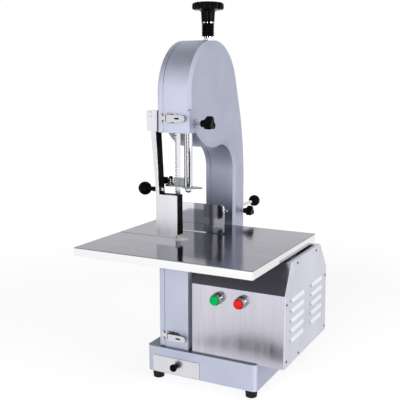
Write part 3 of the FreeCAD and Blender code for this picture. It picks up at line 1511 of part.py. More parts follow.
def latch_lever(z):
    """Channel-shaped lever with a round tip, a slot, two side walls and the loop's stub pins."""
    face = lever_pivot_y - 3.0
    outline = [
        (LEVER_PIVOT_X, z - LEVER_HALF), (lever_tip - 9, z - LEVER_HALF, 2), (lever_tip, z - 5, 5),
        (lever_tip, z + 5, 5), (lever_tip - 9, z + LEVER_HALF, 2), (LEVER_PIVOT_X, z + LEVER_HALF),
    ]
    top = prism_y(outline, face - PLATE, face)
    slot = prism_y(rectangle(lever_tip - 27, lever_tip - 14, z - 2, z + 2, 1.9), face - 2, face + 1)
    solids = [top.cut(slot)]
    profile = [
        (LEVER_PIVOT_X, face - 0.5), (lever_tip - 12, face - 0.5), (lever_tip - 12, face + 2),
        (bail_pivot_x + 6, FRAME_FRONT - 1.5, 2),
        (LEVER_PIVOT_X, FRAME_FRONT - 1.5, 2), (lever_heel, lever_pivot_y, 1),
    ]
    for side in (-1, 1):
        low = min(side * LEVER_HALF, side * (LEVER_HALF - PLATE))
        solids.append(prism_z(profile, z + low, z + low + PLATE))
        pin_low = min(side * (LEVER_HALF - PLATE), side * arm_outer)
        solids.append(rod_z_axis(
            bail_pivot_x, bail_pin_y, z + pin_low, z + pin_low + arm_outer - LEVER_HALF + PLATE, LOOP_PIN
        ))
    hole = rod_z_axis(
        LEVER_PIVOT_X, lever_pivot_y, z - LEVER_HALF - 1, z + LEVER_HALF + 1, LEVER_PIN + RUNNING_FIT
    )
    return fuse(*solids).cut(hole)


def latch_bail(z):
    """Flat loop round the outside of the lever, from its stub pins to the keeper."""
    low_y = bail_pin_y - WIRE
    right = bail_pivot_x + 2.4
    outer = prism_y(
        [
            (bail_left - WIRE, z - arm_outer, 1.5), (right, z - arm_outer), (right, z + arm_outer),
            (bail_left - WIRE, z + arm_outer, 1.5),
        ],
        low_y, low_y + 2 * WIRE,
    )
    inner = box(bail_left + WIRE, right + 1, low_y - 1, low_y + 2 * WIRE + 1, z - arm_inner, z + arm_inner)
    hole = rod_z_axis(bail_pivot_x, bail_pin_y, z - 20, z + 20, LOOP_PIN + RUNNING_FIT)
    return outer.cut(inner).cut(hole)


def keepers():
    """Door-side catch plates with two rivets each; a tongue reaches under the loop and ends in a low hook."""
    face = FRAME_FRONT - PLATE
    hook_left = bail_left + WIRE + 0.4
    solids = []
    for z in LATCH_HEIGHTS:
        plate = prism_y(rectangle(KEEPER_X - 5, door_right, z - 11, z + 11, 2.0), face, FRAME_FRONT)
        tongue = box(KEEPER_X + 1, hook_left + 1, face, FRAME_FRONT - 0.1, z - 4.5, z + 4.5)
        hook = box(hook_left, hook_left + 1.4, face - 0.4, FRAME_FRONT - 0.1, z - 4.5, z + 4.5)
        rivets = [
            Part.makeCone(2.0, 2.8, PLATE, Vector(KEEPER_X, face - PLATE, z + side * RIVET_OFFSET), Y_AXIS)
            for side in (-1, 1)
        ]
        solids.append(fuse(plate, tongue, hook, *rivets))
    return group(*solids)


write("latch_bases", group(*[latch_base(z) for z in LATCH_HEIGHTS]))
write("upper_latch_lever", latch_lever(LATCH_HEIGHTS[0]))
write("lower_latch_lever", latch_lever(LATCH_HEIGHTS[1]))
write("upper_latch_bail", latch_bail(LATCH_HEIGHTS[0]))
write("lower_latch_bail", latch_bail(LATCH_HEIGHTS[1]))
write("latch_keepers", keepers())
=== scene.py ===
"""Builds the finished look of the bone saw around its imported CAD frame."""

import json
import math

import bmesh
import bpy
from mathutils import Matrix, Vector

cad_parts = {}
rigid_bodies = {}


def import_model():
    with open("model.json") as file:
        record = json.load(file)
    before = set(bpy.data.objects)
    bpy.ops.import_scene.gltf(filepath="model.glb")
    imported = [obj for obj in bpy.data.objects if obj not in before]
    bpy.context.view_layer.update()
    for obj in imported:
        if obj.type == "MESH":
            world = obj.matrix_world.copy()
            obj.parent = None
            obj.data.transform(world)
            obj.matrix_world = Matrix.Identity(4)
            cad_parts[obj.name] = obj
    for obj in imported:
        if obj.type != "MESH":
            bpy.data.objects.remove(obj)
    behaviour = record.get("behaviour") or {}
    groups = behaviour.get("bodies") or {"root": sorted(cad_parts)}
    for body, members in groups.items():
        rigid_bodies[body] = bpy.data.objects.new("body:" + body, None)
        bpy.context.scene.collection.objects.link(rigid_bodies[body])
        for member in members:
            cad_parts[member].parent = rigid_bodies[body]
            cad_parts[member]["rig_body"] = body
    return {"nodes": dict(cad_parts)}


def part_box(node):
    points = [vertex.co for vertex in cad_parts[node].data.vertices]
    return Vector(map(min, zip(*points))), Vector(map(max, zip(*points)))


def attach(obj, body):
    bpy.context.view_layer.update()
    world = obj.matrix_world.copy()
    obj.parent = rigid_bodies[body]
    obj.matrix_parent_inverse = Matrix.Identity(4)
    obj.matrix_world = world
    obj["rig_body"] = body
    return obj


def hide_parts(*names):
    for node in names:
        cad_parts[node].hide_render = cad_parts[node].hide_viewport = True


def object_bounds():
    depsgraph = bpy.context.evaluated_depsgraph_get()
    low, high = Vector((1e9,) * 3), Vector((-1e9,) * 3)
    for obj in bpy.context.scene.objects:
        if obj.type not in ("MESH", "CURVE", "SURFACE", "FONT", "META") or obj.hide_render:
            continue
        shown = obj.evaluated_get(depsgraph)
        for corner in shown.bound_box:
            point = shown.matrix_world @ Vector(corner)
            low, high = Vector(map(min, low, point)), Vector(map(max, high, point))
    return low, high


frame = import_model()
CAD_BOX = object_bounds()
MM = 0.001

bl_info = {
    "name": "Bone Saw Finishes",
    "version": (1, 0, 0),
    "blender": (4, 5, 0),
    "location": "3D View > Sidebar > Bone Saw",
    "description": "Dresses a bench bone saw with its hand knobs, buttons, feet and material finishes",
    "category": "Object",
}


# ---------------------------------------------------------------- settings
def colour_setting(name, description, code):
    """A colour property that starts from an sRGB hex code."""
    return bpy.props.FloatVectorProperty(
        name=name, description=description, subtype="COLOR", size=4, min=0.0, max=1.0, default=linear(code),
    )


def length_setting(name, description, millimetres):
    """A length property that starts from a size in millimetres."""
    return bpy.props.FloatProperty(
        name=name, description=description, default=millimetres * MM, min=0.0, unit="LENGTH", precision=5,
    )


def linear(code):
    """sRGB hex code to a linear RGBA colour."""
    parts = [int(code[i:i + 2], 16) / 255 for i in (1, 3, 5)]
    return tuple(c / 12.92 if c <= 0.04045 else ((c + 0.055) / 1.055) ** 2.4 for c in parts) + (1.0,)


class SawSizes(bpy.types.PropertyGroup):
    """Sizes of the moulded and turned pieces."""

    knob_lobes: bpy.props.IntProperty(
        name="Tension knob lobes", description="Finger lobes round the tension knob",
        default=12, min=6, max=20,
    )
    knob_lobe_depth: length_setting("Tension knob scallop", "Depth of each scallop in the knob's edge", 6.0)
    spring_ribs: bpy.props.IntProperty(
        name="Spring stack ribs", description="Disc springs in the stack under the tension knob",
        default=8, min=3,
    )
    edge_radius: length_setting("Casting edge", "Rounding of the casting's edges", 1.2)
    sheet_edge: length_setting("Sheet edge", "Rounding of folded sheet edges", 0.45)
    grain: length_setting("Brushed grain", "Spacing of the grain in brushed sheet", 1.4)


class SawColours(bpy.types.PropertyGroup):
    """Colours of the finishes."""

    enamel: colour_setting("Silver enamel", "Paint on the castings and the base", "#B4B8CA")
    # painted shade: a darker copy of the enamel for the throat and the foot's ledge
    throat_painted_shade: colour_setting("Throat painted shade", "Painted shade inside the throat", "#6E7686")
    table_steel: colour_setting("Table steel", "Brushed stainless table", "#7F7F8A")
    # painted highlight: a lighter tone painted on the table's upright skirt
    table_skirt_highlight: colour_setting("Table skirt highlight", "Painted highlight on the table's folded edges", "#E6E6E6")
    panel_steel: colour_setting("Housing steel", "Brushed stainless of the motor housing", "#C8C6D1")
    sheet_enamel: colour_setting("Side panel enamel", "Paint on the louvred side panel", "#D6D8E5")
    plate_steel: colour_setting("Plate steel", "Satin stainless of pusher, hinges and drawer", "#D6D6DB")
    bright_steel: colour_setting("Bright steel", "Buffed stainless of fence and latches", "#D2D2D8")
    phenolic: colour_setting("Knob black", "Moulded phenolic of knobs and balls", "#040506")
    start_green: colour_setting("Start button", "Cap of the start button", "#02B456")
    stop_red: colour_setting("Stop button", "Cap of the stop button", "#DA2A22")
    acetal: colour_setting("Acetal white", "Blade insert, lower guide and wipers", "#E9E9E4")
    floor: colour_setting("Floor", "Plain pale floor", "#A2A2A2")


# ---------------------------------------------------------------- material nodes
def add(material, kind, settings=None, links=None):
    """Adds a node to a material or world. A link's value is a number, a colour or a node's output."""
    node = material.node_tree.nodes.new(kind)
    for key, value in (settings or {}).items():
        setattr(node, key, value)
    for key, value in (links or {}).items():
        if isinstance(value, bpy.types.NodeSocket):
            material.node_tree.links.new(value, node.inputs[key])
        else:
            node.inputs[key].default_value = value
    return node


def new_material(name):
    """An empty node material."""
    material = bpy.data.materials.new(name)
    material.use_nodes = True
    material.node_tree.nodes.clear()
    return material


def shade(colour, factor):
    """A lighter or darker tone of a colour."""
    return tuple(min(1.0, part * factor) for part in colour[:3]) + (1.0,)


def per_metre(millimetres):
    """Cells per metre for a feature of that size."""
    return 1000.0 / millimetres


def calculate(material, operation, *values):
    """One arithmetic step on numbers or node outputs."""
    return add(material, "ShaderNodeMath", {"operation": operation}, dict(enumerate(values))).outputs[0]


def ranged(material, value, start, end, low=0.0, high=1.0):
    """Carries a value from one range to another, held at both ends."""
    reach = {"Value": value, "From Min": start, "From Max": end, "To Min": low, "To Max": high}
    return add(material, "ShaderNodeMapRange", None, reach).outputs[0]


def noise_at(material, sizes_mm, detail=3.0, roughness=0.55):
    """Uneven pattern in the frame's own metres; its size is one number, or one each along X, Y and Z."""
    if not isinstance(sizes_mm, tuple):
        sizes_mm = (sizes_mm,) * 3
    place = add(material, "ShaderNodeTexCoord")
    scale = tuple(per_metre(size) for size in sizes_mm)
    mapped = add(material, "ShaderNodeMapping", None, {"Vector": place.outputs["Object"], "Scale": scale})
    pattern = {"Vector": mapped.outputs[0], "Scale": 1.0, "Detail": detail, "Roughness": roughness}
    return add(material, "ShaderNodeTexNoise", None, pattern).outputs["Fac"]


def mottled(material, pattern, dark, light, start=0.3, end=0.7):
    """A colour that wanders between two tones over a pattern."""
    node = add(material, "ShaderNodeValToRGB", None, {"Fac": pattern})
    for element, position, tone in zip(node.color_ramp.elements, (start, end), (dark, light)):
        element.position = position
        element.color = tone
    return node.outputs[0]


def eased(material, source, axis, start, end, low=0.0, high=1.0, either_way=False):
    """Goes from low to high along an axis.

    The source Object goes by a point's place, the source Normal by how far its face turns that way.
    """
    known = add(material, {"Object": "ShaderNodeTexCoord", "Normal": "ShaderNodeNewGeometry"}[source])
    parts = add(material, "ShaderNodeSeparateXYZ", None, {0: known.outputs[source]})
    value = parts.outputs["XYZ".index(axis)]
    if either_way:
        value = calculate(material, "ABSOLUTE", value)
    return ranged(material, value, start, end, low, high)


def within(material, axis, low, high, soft=0.4 * MM):
    """1 where a point lies between two places along an axis, 0 elsewhere."""
    rise = eased(material, "Object", axis, low - soft, low + soft)
    fall = eased(material, "Object", axis, high - soft, high + soft, 1.0, 0.0)
    return calculate(material, "MULTIPLY", rise, fall)


def laid_over(material, under, over, *masks):
    """One colour over another where every mask holds. A mask may be a plain number."""
    share = masks[0]
    for mask in masks[1:]:
        share = calculate(material, "MULTIPLY", share, mask)
    return add(material, "ShaderNodeMix", {"data_type": "RGBA"}, {0: share, 6: under, 7: over}).outputs[2]


def corner_shaded(material, colour, reach_mm, darkest):
    """Painted shade: a colour that darkens in corners and under lips, where ambient occlusion finds them.

    The last value is the share of the colour that is left in the deepest corner.
    """
    corner = add(material, "ShaderNodeAmbientOcclusion", {"samples": 8}, {"Distance": reach_mm * MM})
    covered = ranged(material, corner.outputs["AO"], 0.35, 0.85, 1.0 - darkest, 0.0)
    return laid_over(material, colour, CORNER_SHADE, covered)


def surface(material, colour, wear, roughness, relief, strength, depth_mm, sockets):
    """Ends a material: roughness between two values over the wear, fine relief, and its plain sockets."""
    rough = ranged(material, wear, 0.3, 0.7, *roughness)
    heights = {"Height": relief, "Strength": strength, "Distance": depth_mm * MM}
    raised = add(material, "ShaderNodeBump", None, heights)
    links = {"Base Color": colour, "Roughness": rough, "Normal": raised.outputs[0]}
    shader = add(material, "ShaderNodeBsdfPrincipled", None, {**links, **sockets})
    add(material, "ShaderNodeOutputMaterial", None, {"Surface": shader.outputs[0]})
    return material


# ---------------------------------------------------------------- finishes
# painted shade: the near-black that corners and recesses are darkened towards
CORNER_SHADE = (0.012, 0.012, 0.016, 1.0)
# size of the cloudy patches in sprayed enamel
CLOUD_MM = 1000.0 / 9.0
# how far a brushed line and a smear run along the brushing, and how wide a smear is
LINE_RUN_MM = 200.0
SMEAR_RUN_MM = 1000.0 / 2.2
SMEAR_MM = 28.0
METAL = {"Metallic": 1.0}


def silver_enamel(name, colour, shaded):
    """Silver enamel sprayed over cast aluminium or sheet: satin, faint orange peel, slightly cloudy."""
    material = new_material(name)
    painted = mottled(material, noise_at(material, CLOUD_MM, 2.0), shade(colour, 0.93), shade(colour, 1.05))
    # painted shade: a dark line along the parting between the casting and its door, for the shadow in the gap
    painted = laid_over(
        material, painted, shade(colour, 0.22),
        within(material, "X", SEAM - 0.8 * MM, SEAM + 0.6 * MM, 0.2 * MM),
        within(material, "Z", BASE_TOP + MM, 2.0),
    )
    # painted shade: the throat is painted darker than the outside, most of all near the table
    painted = laid_over(
        material, painted, shaded,
        within(material, "Y", THROAT_BACK - 160.0 * MM, THROAT_BACK + 2.0 * MM, 2.0 * MM),
        within(material, "Z", TABLE_TOP + 2.0 * MM, HEAD_UNDER + 160.0 * MM, 10.0 * MM),
        eased(material, "Normal", "X", 0.3, 0.6, 1.0, 0.0, True),
        eased(material, "Object", "Z", TABLE_TOP + 30.0 * MM, HEAD_UNDER - 70.0 * MM, 1.0, 0.05),
    )
    # painted highlight and painted shade on the bevelled rims: lighter than the faces beside them in front,
    # darker at the back
    rim = (
        eased(material, "Normal", "X", 0.35, 0.5, 0.0, 1.0, True),
        eased(material, "Normal", "X", 0.82, 0.92, 1.0, 0.0, True),
    )
    front = eased(material, "Normal", "Y", -0.1, 0.25, 0.75, 0.0)
    rear = eased(material, "Normal", "Y", -0.1, 0.25, 0.0, 0.7)
    painted = laid_over(material, painted, shade(colour, 1.5), *rim, front)
    painted = laid_over(material, painted, shade(colour, 0.6), *rim, rear)
    # painted shade: the ledge round the foot is darkened, as it lies in the machine's own shade
    painted = laid_over(
        material, painted, shade(shaded, 0.75),
        within(material, "Z", BASE_TOP - 3.0 * MM, BASE_TOP + MM),
        eased(material, "Normal", "Z", 0.6, 0.9, 0.0, 0.75),
    )
    # painted highlight: the raised lips of the louvres are painted nearly white, as where they catch the
    # light
    lips = within(material, "X", PANEL_FACE, PANEL_FACE + 10.0 * MM, 0.3 * MM)
    painted = laid_over(material, painted, linear("#F4F5FA"), lips, 0.9)
    # painted shade in corners and under lips
    painted = corner_shaded(material, painted, 5.0, 0.25)
    pits = noise_at(material, 22.0, 4.0)
    peel = noise_at(material, 3.5, 2.0)
    return surface(material, painted, pits, (0.42, 0.54), peel, 0.2, 0.25, {"Metallic": 0.62})


def brushed_steel(name, colour, along, roughness, grain, contrast, sides=None, under=None):
    """Stainless sheet rubbed with a belt: long fine lines one way, drawn coarse enough to show, and smears.

    The upright sides may take a painted highlight and the underside a painted shade, each in its own tone.
    """
    material = new_material(name)
    line_sizes = tuple(LINE_RUN_MM if axis == along else grain / MM for axis in "XYZ")
    smear_sizes = tuple(SMEAR_RUN_MM if axis == along else SMEAR_MM for axis in "XYZ")
    lines = noise_at(material, line_sizes, 4.0, 0.65)
    smear = noise_at(material, smear_sizes, 2.0)
    fine = mottled(material, lines, shade(colour, 1.0 - contrast), shade(colour, 1.0 + contrast))
    faint = 0.8 * contrast
    worn = mottled(material, smear, shade(colour, 1.0 - faint), shade(colour, 1.0 + faint), 0.35, 0.65)
    tone = laid_over(material, fine, worn, 0.45)
    # painted highlight on the upright skirt
    if sides:
        upright = eased(material, "Normal", "Z", 0.5, 0.7, 1.0, 0.0)
        tone = laid_over(material, tone, sides, upright, within(material, "Z", 0.0, TABLE_TOP - 2.0 * MM))
    # painted shade on the underside
    if under:
        tone = laid_over(material, tone, under, eased(material, "Normal", "Z", -0.7, -0.5, 1.0, 0.0))
    return surface(material, tone, smear, (roughness * 0.82, roughness * 1.22), lines, 0.10, 0.05, METAL)


def bright_steel(name, colour, roughness, scratch=0.06, painted_edge_tone=None, smear=None):
    """Ground and buffed stainless or chrome: clear reflections with faint hairlines and handling marks.

    Pressed parts may have their edge faces painted dark round their bright faces, a painted reflection. A
    buffed plate may have a painted reflection, a dark band given as its two ends along X and its tone.
    """
    material = new_material(name)
    marks = noise_at(material, (1.2, 1.2, 40.0))
    tone = mottled(material, marks, shade(colour, 1.0 - scratch), shade(colour, 1.0 + scratch))
    # painted reflection: dark edge faces round a pressed part's bright faces
    if painted_edge_tone:
        tone = laid_over(material, tone, painted_edge_tone, eased(material, "Normal", "Y", 0.72, 0.92, 1.0, 0.0, True))
    # painted reflection: a dark band across a buffed plate
    if smear:
        start, end, reflection_tone = smear
        tone = laid_over(material, tone, reflection_tone, within(material, "X", start, end, 2.0 * MM))
    # painted shade in corners and under lips
    tone = corner_shaded(material, tone, 3.0, 0.0)
    handled = noise_at(material, 18.0, 2.0)
    return surface(material, tone, handled, (roughness * 0.8, roughness * 1.35), marks, 0.05, 0.03, METAL)


def blade_strip():
    """Ground spring steel strip with a dark spot at each tooth along its cutting edge."""
    material = new_material("Spring steel strip, ground, dark spot at each tooth")
    marks = noise_at(material, (1.2, 1.2, 60.0))
    tone = mottled(material, marks, linear("#D8D9DE"), linear("#E8E9ED"))
    place = add(material, "ShaderNodeTexCoord")
    parts = add(material, "ShaderNodeSeparateXYZ", None, {0: place.outputs["Object"]})
    pitches = calculate(material, "MULTIPLY", parts.outputs[2], per_metre(TOOTH_PITCH_MM))
    each = ranged(material, calculate(material, "FRACT", pitches), 0.46, 0.56, 1.0, 0.0)
    teeth = within(material, "X", TOOTH_TIPS - MM, TOOTH_TIPS + 5.2 * MM)
    tone = laid_over(material, tone, linear("#0E0F14"), teeth, each)
    return surface(material, tone, marks, (0.24, 0.34), marks, 0.05, 0.03, METAL)


def moulded(name, colour, roughness, gloss=0.5, grain_mm=0.8, depth_mm=0.04, scatter=0.0):
    """Moulded plastic and rubber, and thick brushed paint: even colour, fine texture, rubbed high spots."""
    material = new_material(name)
    rubbed = noise_at(material, 14.0)
    lifted = tuple(min(1.0, part * 1.08 + 0.002) for part in colour[:3]) + (1.0,)
    tone = mottled(material, rubbed, shade(colour, 0.9), lifted, 0.35, 0.65)
    texture = noise_at(material, grain_mm, 2.0)
    sockets = {"Specular IOR Level": gloss, "Subsurface Weight": scatter, "Subsurface Scale": 2.0 * MM}
    shine = (roughness * 0.85, roughness * 1.2)
    return surface(material, tone, rubbed, shine, texture, 0.2, depth_mm, sockets)


def cast_iron(name, colour, roughness):
    """Machined or bare cast iron inside the housings: grey, grainy, oily in patches."""
    material = new_material(name)
    grain = noise_at(material, 2.0, 4.0)
    oil = noise_at(material, 30.0)
    tone = mottled(material, grain, shade(colour, 0.8), shade(colour, 1.15))
    shine = (roughness * 0.7, roughness * 1.2)
    return surface(material, tone, oil, shine, grain, 0.3, 0.15, {"Metallic": 0.8})


FINISHES = {}


def finish(name):
    """One of the shared finishes, made the first time it is asked for."""
    if name not in FINISHES:
        colours = bpy.context.scene.saw_colours
        grain = bpy.context.scene.saw_sizes.grain
        reflection_start, reflection_end = (FENCE_LEFT + end * MM for end in FENCE_REFLECTION_MM)
        makers = {
            # paint: a soft, broad silver over the large shapes
            "enamel": lambda: silver_enamel(
                "Silver enamel, sprayed on cast aluminium", colours.enamel, colours.throat_painted_shade,
            ),
            "sheet": lambda: silver_enamel(
                "Silver enamel, sprayed on sheet", colours.sheet_enamel, colours.sheet_enamel,
            ),
            # brushed sheet: fine lines that draw every reflection out one way
            # painted highlight on the table's skirt and painted shade on its underside, which the housing's
            # slope mirrors
            "table": lambda: brushed_steel(
                "Stainless sheet, belt-brushed and rubbed bright", colours.table_steel, "X", 0.14, grain,
                0.28, colours.table_skirt_highlight, linear("#4A4A50"),
            ),
            "panel": lambda: brushed_steel(
                "Stainless sheet, brushed upright", colours.panel_steel, "Z", 0.20, grain, 0.12,
            ),
            # painted shade: the housing steel darkened for the cover's slope, which mirrors the table's
            # shaded underside
            "cover": lambda: brushed_steel(
                "Stainless sheet, brushed across", shade(colours.panel_steel, 0.72), "X", 0.18, grain, 0.06,
            ),
            "plate": lambda: brushed_steel(
                "Stainless plate, satin ground", colours.plate_steel, "Z", 0.30, grain, 0.04,
            ),
            # buffed and plated metal: clear reflections, the brightest and the darkest tones side by side
            "bright": lambda: bright_steel("Stainless steel, buffed", colours.bright_steel, 0.10),
            # painted reflection: the latch's edge faces are painted dark
            "latch": lambda: bright_steel(
                "Stainless steel, pressed", colours.bright_steel, 0.12, 0.06, linear("#26272C"),
            ),
            "chrome": lambda: bright_steel("Chrome plate on steel", linear("#CFD0D4"), 0.05, 0.02),
            # painted reflection: a dark band laid across the fence plate
            "fence": lambda: bright_steel(
                "Stainless sheet, mirror buffed", colours.bright_steel, 0.07, 0.04, None,
                (reflection_start, reflection_end, linear("#86868E")),
            ),
            # plain metal of small and inner parts: grey, with soft highlights
            "barrel": lambda: bright_steel("Nickel plate, satin", linear("#B4B5BA"), 0.22, 0.05),
            "steel": lambda: bright_steel("Tool steel, ground", linear("#8E9096"), 0.16, 0.10),
            "zinc": lambda: bright_steel("Zinc-plated steel", linear("#A9ABAE"), 0.32, 0.08),
            "bearing": lambda: bright_steel("Bearing steel, ground", linear("#9A9CA0"), 0.2, 0.05),
            "dark_screw": lambda: bright_steel("Blackened steel screws", linear("#4A4C52"), 0.35, 0.12),
            "iron": lambda: cast_iron("Cast iron, turned", linear("#7C7E82"), 0.45),
            # a pale band with a dark spot to each tooth
            "blade": blade_strip,
            # near-black: deep and faintly shining on the knobs, flat on the rail and the feet
            "phenolic": lambda: moulded("Phenolic resin, moulded and polished", colours.phenolic, 0.20, 0.05),
            "rail": lambda: moulded("Nylon rail, milled", linear("#060607"), 0.45, 0.03, 1.2, 0.05),
            "rubber": lambda: moulded("Rubber, moulded", linear("#101012"), 0.55, 0.2, 1.0, 0.12),
            # milky white that lets a little light in
            "acetal": lambda: moulded("Acetal, machined", colours.acetal, 0.35, 0.45, 1.0, 0.03, 0.05),
            # full, even colour with a quiet shine
            "start": lambda: moulded(
                "Polycarbonate, moulded green", colours.start_green, 0.24, 0.05, 1.5, 0.01,
            ),
            "stop": lambda: moulded("Polycarbonate, moulded red", colours.stop_red, 0.24, 0.05, 1.5, 0.01),
            "motor": lambda: moulded(
                "Grey machine enamel, brushed on", linear("#5B626C"), 0.45, 0.5, 2.5, 0.1,
            ),
        }
        FINISHES[name] = makers[name]()
    return FINISHES[name]


# ---------------------------------------------------------------- places, all from the frame
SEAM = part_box("side_door")[1].x
TABLE_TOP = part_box("table_plate")[1].z
# the throat's painted shade ends about this far behind the table plate
THROAT_GAP_MM = 5.0
THROAT_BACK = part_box("table_plate")[1].y + THROAT_GAP_MM * MM
# clear height between the table and the head
CUTTING_HEIGHT_MM = 260.0
HEAD_UNDER = TABLE_TOP + CUTTING_HEIGHT_MM * MM
TOOTH_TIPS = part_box("blade")[0].x
TOOTH_PITCH_MM = 6.35
FENCE_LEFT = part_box("fence_plate")[0].x
# where the painted reflection on the fence starts and ends, from the plate's left end
FENCE_REFLECTION_MM = (45.5, 99.5)
BASE_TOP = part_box("base_box")[1].z
# only the louvres' raised lips lie outside this plane of the side panel
LIP_DEPTH_MM = 3.3
PANEL_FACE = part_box("box_side_panel")[1].x - LIP_DEPTH_MM * MM


def base_centre(low, high):
    """The middle of a box's underside."""
    return Vector(((low.x + high.x) / 2, (low.y + high.y) / 2, low.z))


def back_centre(low, high):
    """The middle of a box's back, where a piece that points to the front begins."""
    return Vector(((low.x + high.x) / 2, high.y, (low.z + high.z) / 2))


def clusters(node, reach):
    """Boxes of a node's separate solids, found by how far apart their points lie."""
    groups = []
    for vertex in frame["nodes"][node].data.vertices:
        for group in groups:
            if (group[0] + group[1] - 2 * vertex.co).length < 2 * reach:
                break
        else:
            group = [vertex.co.copy(), vertex.co.copy()]
            groups.append(group)
        for k in range(3):
            group[0][k] = min(group[0][k], vertex.co[k])
            group[1][k] = max(group[1][k], vertex.co[k])
    return groups


def bevel(piece, width, corner):
    """Rounds the edges that turn by more than an angle in degrees."""
    rounded = piece.modifiers.new("Rounded edges", "BEVEL")
    rounded.width = width
    rounded.segments = 2
    rounded.limit_method = "ANGLE"
    rounded.angle_limit = math.radians(corner)
    return rounded


def shade_evenly(piece):
    """Keeps flat faces looking flat beside their rounded edges."""
    piece.modifiers.new("Even shading", "WEIGHTED_NORMAL").keep_sharp = True


def soften(piece, width, corner=32.0):
    """Joins split corners, clears the flats and rounds the sharp edges, so that they catch the light."""
    weld = piece.modifiers.new("Join corners", "WELD")
    weld.merge_threshold = 0.01 * MM
    flats = piece.modifiers.new("Clear flats", "DECIMATE")
    flats.decimate_type = "DISSOLVE"
    flats.angle_limit = math.radians(1.0)
    bevel(piece, width, corner).miter_outer = "MITER_ARC"
    shade_evenly(piece)


def dress(nodes, finish_name, width=None, corner=32.0):
    """Gives CAD nodes their finish and, where a width is named, rounded edges."""
    for name in nodes:
        piece = frame["nodes"][name]
        piece.data.materials.clear()
        piece.data.materials.append(finish(finish_name))
        if width:
            soften(piece, width, corner)


def new_piece(name, points, faces, body, finish_name, stands_for=()):
    """A finished mesh that rides on a body and may stand for CAD nodes."""
    mesh = bpy.data.meshes.new(name)
    mesh.from_pydata(points, [], faces)
    mesh.validate()
    shape = bmesh.new()
    shape.from_mesh(mesh)
    bmesh.ops.remove_doubles(shape, verts=shape.verts, dist=0.001 * MM)
    bmesh.ops.recalc_face_normals(shape, faces=shape.faces)
    shape.to_mesh(mesh)
    shape.free()
    mesh.shade_smooth()
    piece = bpy.data.objects.new(name, mesh)
    bpy.context.scene.collection.objects.link(piece)
    mesh.materials.append(finish(finish_name))
    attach(piece, body)
    if stands_for:
        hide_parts(*stands_for)
    return piece


def turned_rings(profile, start, axis, steps=64, lobes=0, wide=1.0, phase=0.0):
    """Points and faces of a turned shape. A profile row is (height, radius, lobe depth), all in metres."""
    spin = Vector(axis).to_track_quat("Z", "Y")
    across = spin @ Vector((1, 0, 0))
    other = spin @ Vector((0, 1, 0))
    along = Vector(axis).normalized()
    points, faces = [], []
    for height, radius, depth in profile:
        for step in range(steps):
            angle = 2 * math.pi * step / steps
            swell = 1.0
            if lobes:
                swell = ((1 + math.cos(lobes * (angle - phase))) / 2) ** wide
            reach = max(radius - depth * (1.0 - swell), 0.0)
            middle = Vector(start) + along * height
            points.append(
                middle + across * (reach * math.cos(angle)) + other * (reach * math.sin(angle))
            )
    for row in range(len(profile) - 1):
        for step in range(steps):
            a = row * steps + step
            b = row * steps + (step + 1) % steps
            faces.append((a, b, b + steps, a + steps))
    for row, flip in ((0, True), (len(profile) - 1, False)):
        if profile[row][1] > 0.0:
            loop = [row * steps + step for step in range(steps)]
            faces.append(tuple(reversed(loop)) if flip else tuple(loop))
    return points, faces


def join_shapes(shapes):
    """Joins several (points, faces) into one."""
    points, faces = [], []
    for more_points, more_faces in shapes:
        base = len(points)
        points.extend(more_points)
        faces.extend(tuple(base + k for k in face) for face in more_faces)
    return points, faces


def in_mm(rows):
    """Profile rows written in millimetres; a missing lobe depth is nothing."""
    return [(row[0] * MM, row[1] * MM, (row[2] if len(row) > 2 else 0.0) * MM) for row in rows]


def turned_piece(name, rows, start, axis, body, finish_name, stands_for=(), edge=0.35, **shape):
    """A turned piece from profile rows in millimetres, with its edges rounded by so many millimetres."""
    points, faces = turned_rings(in_mm(rows), start, axis, **shape)
    piece = new_piece(name, points, faces, body, finish_name, stands_for)
    round_edges(piece, edge)
    return piece


def round_edges(piece, edge_mm):
    """Rounds a turned piece's edges, if it asks for that, and shades it evenly."""
    if edge_mm:
        bevel(piece, edge_mm * MM, 28.0)
    shade_evenly(piece)


def arc_rows(radius, low, high, centre, steps=12):
    """Profile rows along a ball, from one latitude angle to another in degrees."""
    rows = []
    for k in range(steps + 1):
        angle = math.radians(low + (high - low) * k / steps)
        rows.append((centre + radius * math.sin(angle), radius * math.cos(angle)))
    return rows


# ---------------------------------------------------------------- operators
class BONESAW_OT_castings(bpy.types.Operator):
    """Paint the casting, the door and the base, and finish the hinges and the rod's bush"""

    bl_idname = "bonesaw.castings"
    bl_label = "Castings and base"

    def execute(self, context):
        sizes = context.scene.saw_sizes
        dress(["frame_casting", "side_door", "base_box"], "enamel", sizes.edge_radius, 40.0)
        dress(["casting_hinge_leaves", "door_hinge_leaves"], "plate", sizes.sheet_edge)
        dress(["rod_bush"], "bright", sizes.sheet_edge)
        return {"FINISHED"}


class BONESAW_OT_feet(bpy.types.Operator):
    """Mould the four rubber feet, with their ribs and the studs they screw on to"""

    bl_idname = "bonesaw.feet"
    bl_label = "Rubber feet"

    def execute(self, context):
        shapes = []
        for low, high in clusters("feet", 40.0 * MM):
            radius = (high.x - low.x) / 2 / MM
            tall = (high.z - low.z) / MM
            start = base_centre(low, high)
            rows = [
                (0, radius - 5), (0, radius - 3), (0.8, radius - 2), (4.5, radius - 1.7), (5, radius - 2.3),
                (5.8, radius - 2.3), (6.3, radius - 1.5), (tall - 7, radius - 0.9),
                (tall - 6.5, radius - 1.6), (tall - 5.7, radius - 1.6), (tall - 5.2, radius - 0.5),
                (tall - 1, radius), (tall, radius - 0.6),
            ]
            shapes.append(turned_rings(in_mm(rows), start, (0, 0, 1), 48))
        points, faces = join_shapes(shapes)
        round_edges(new_piece("rubber_feet", points, faces, "frame", "rubber", ("feet",)), 0.2)
        dress(["foot_studs"], "zinc")
        return {"FINISHED"}


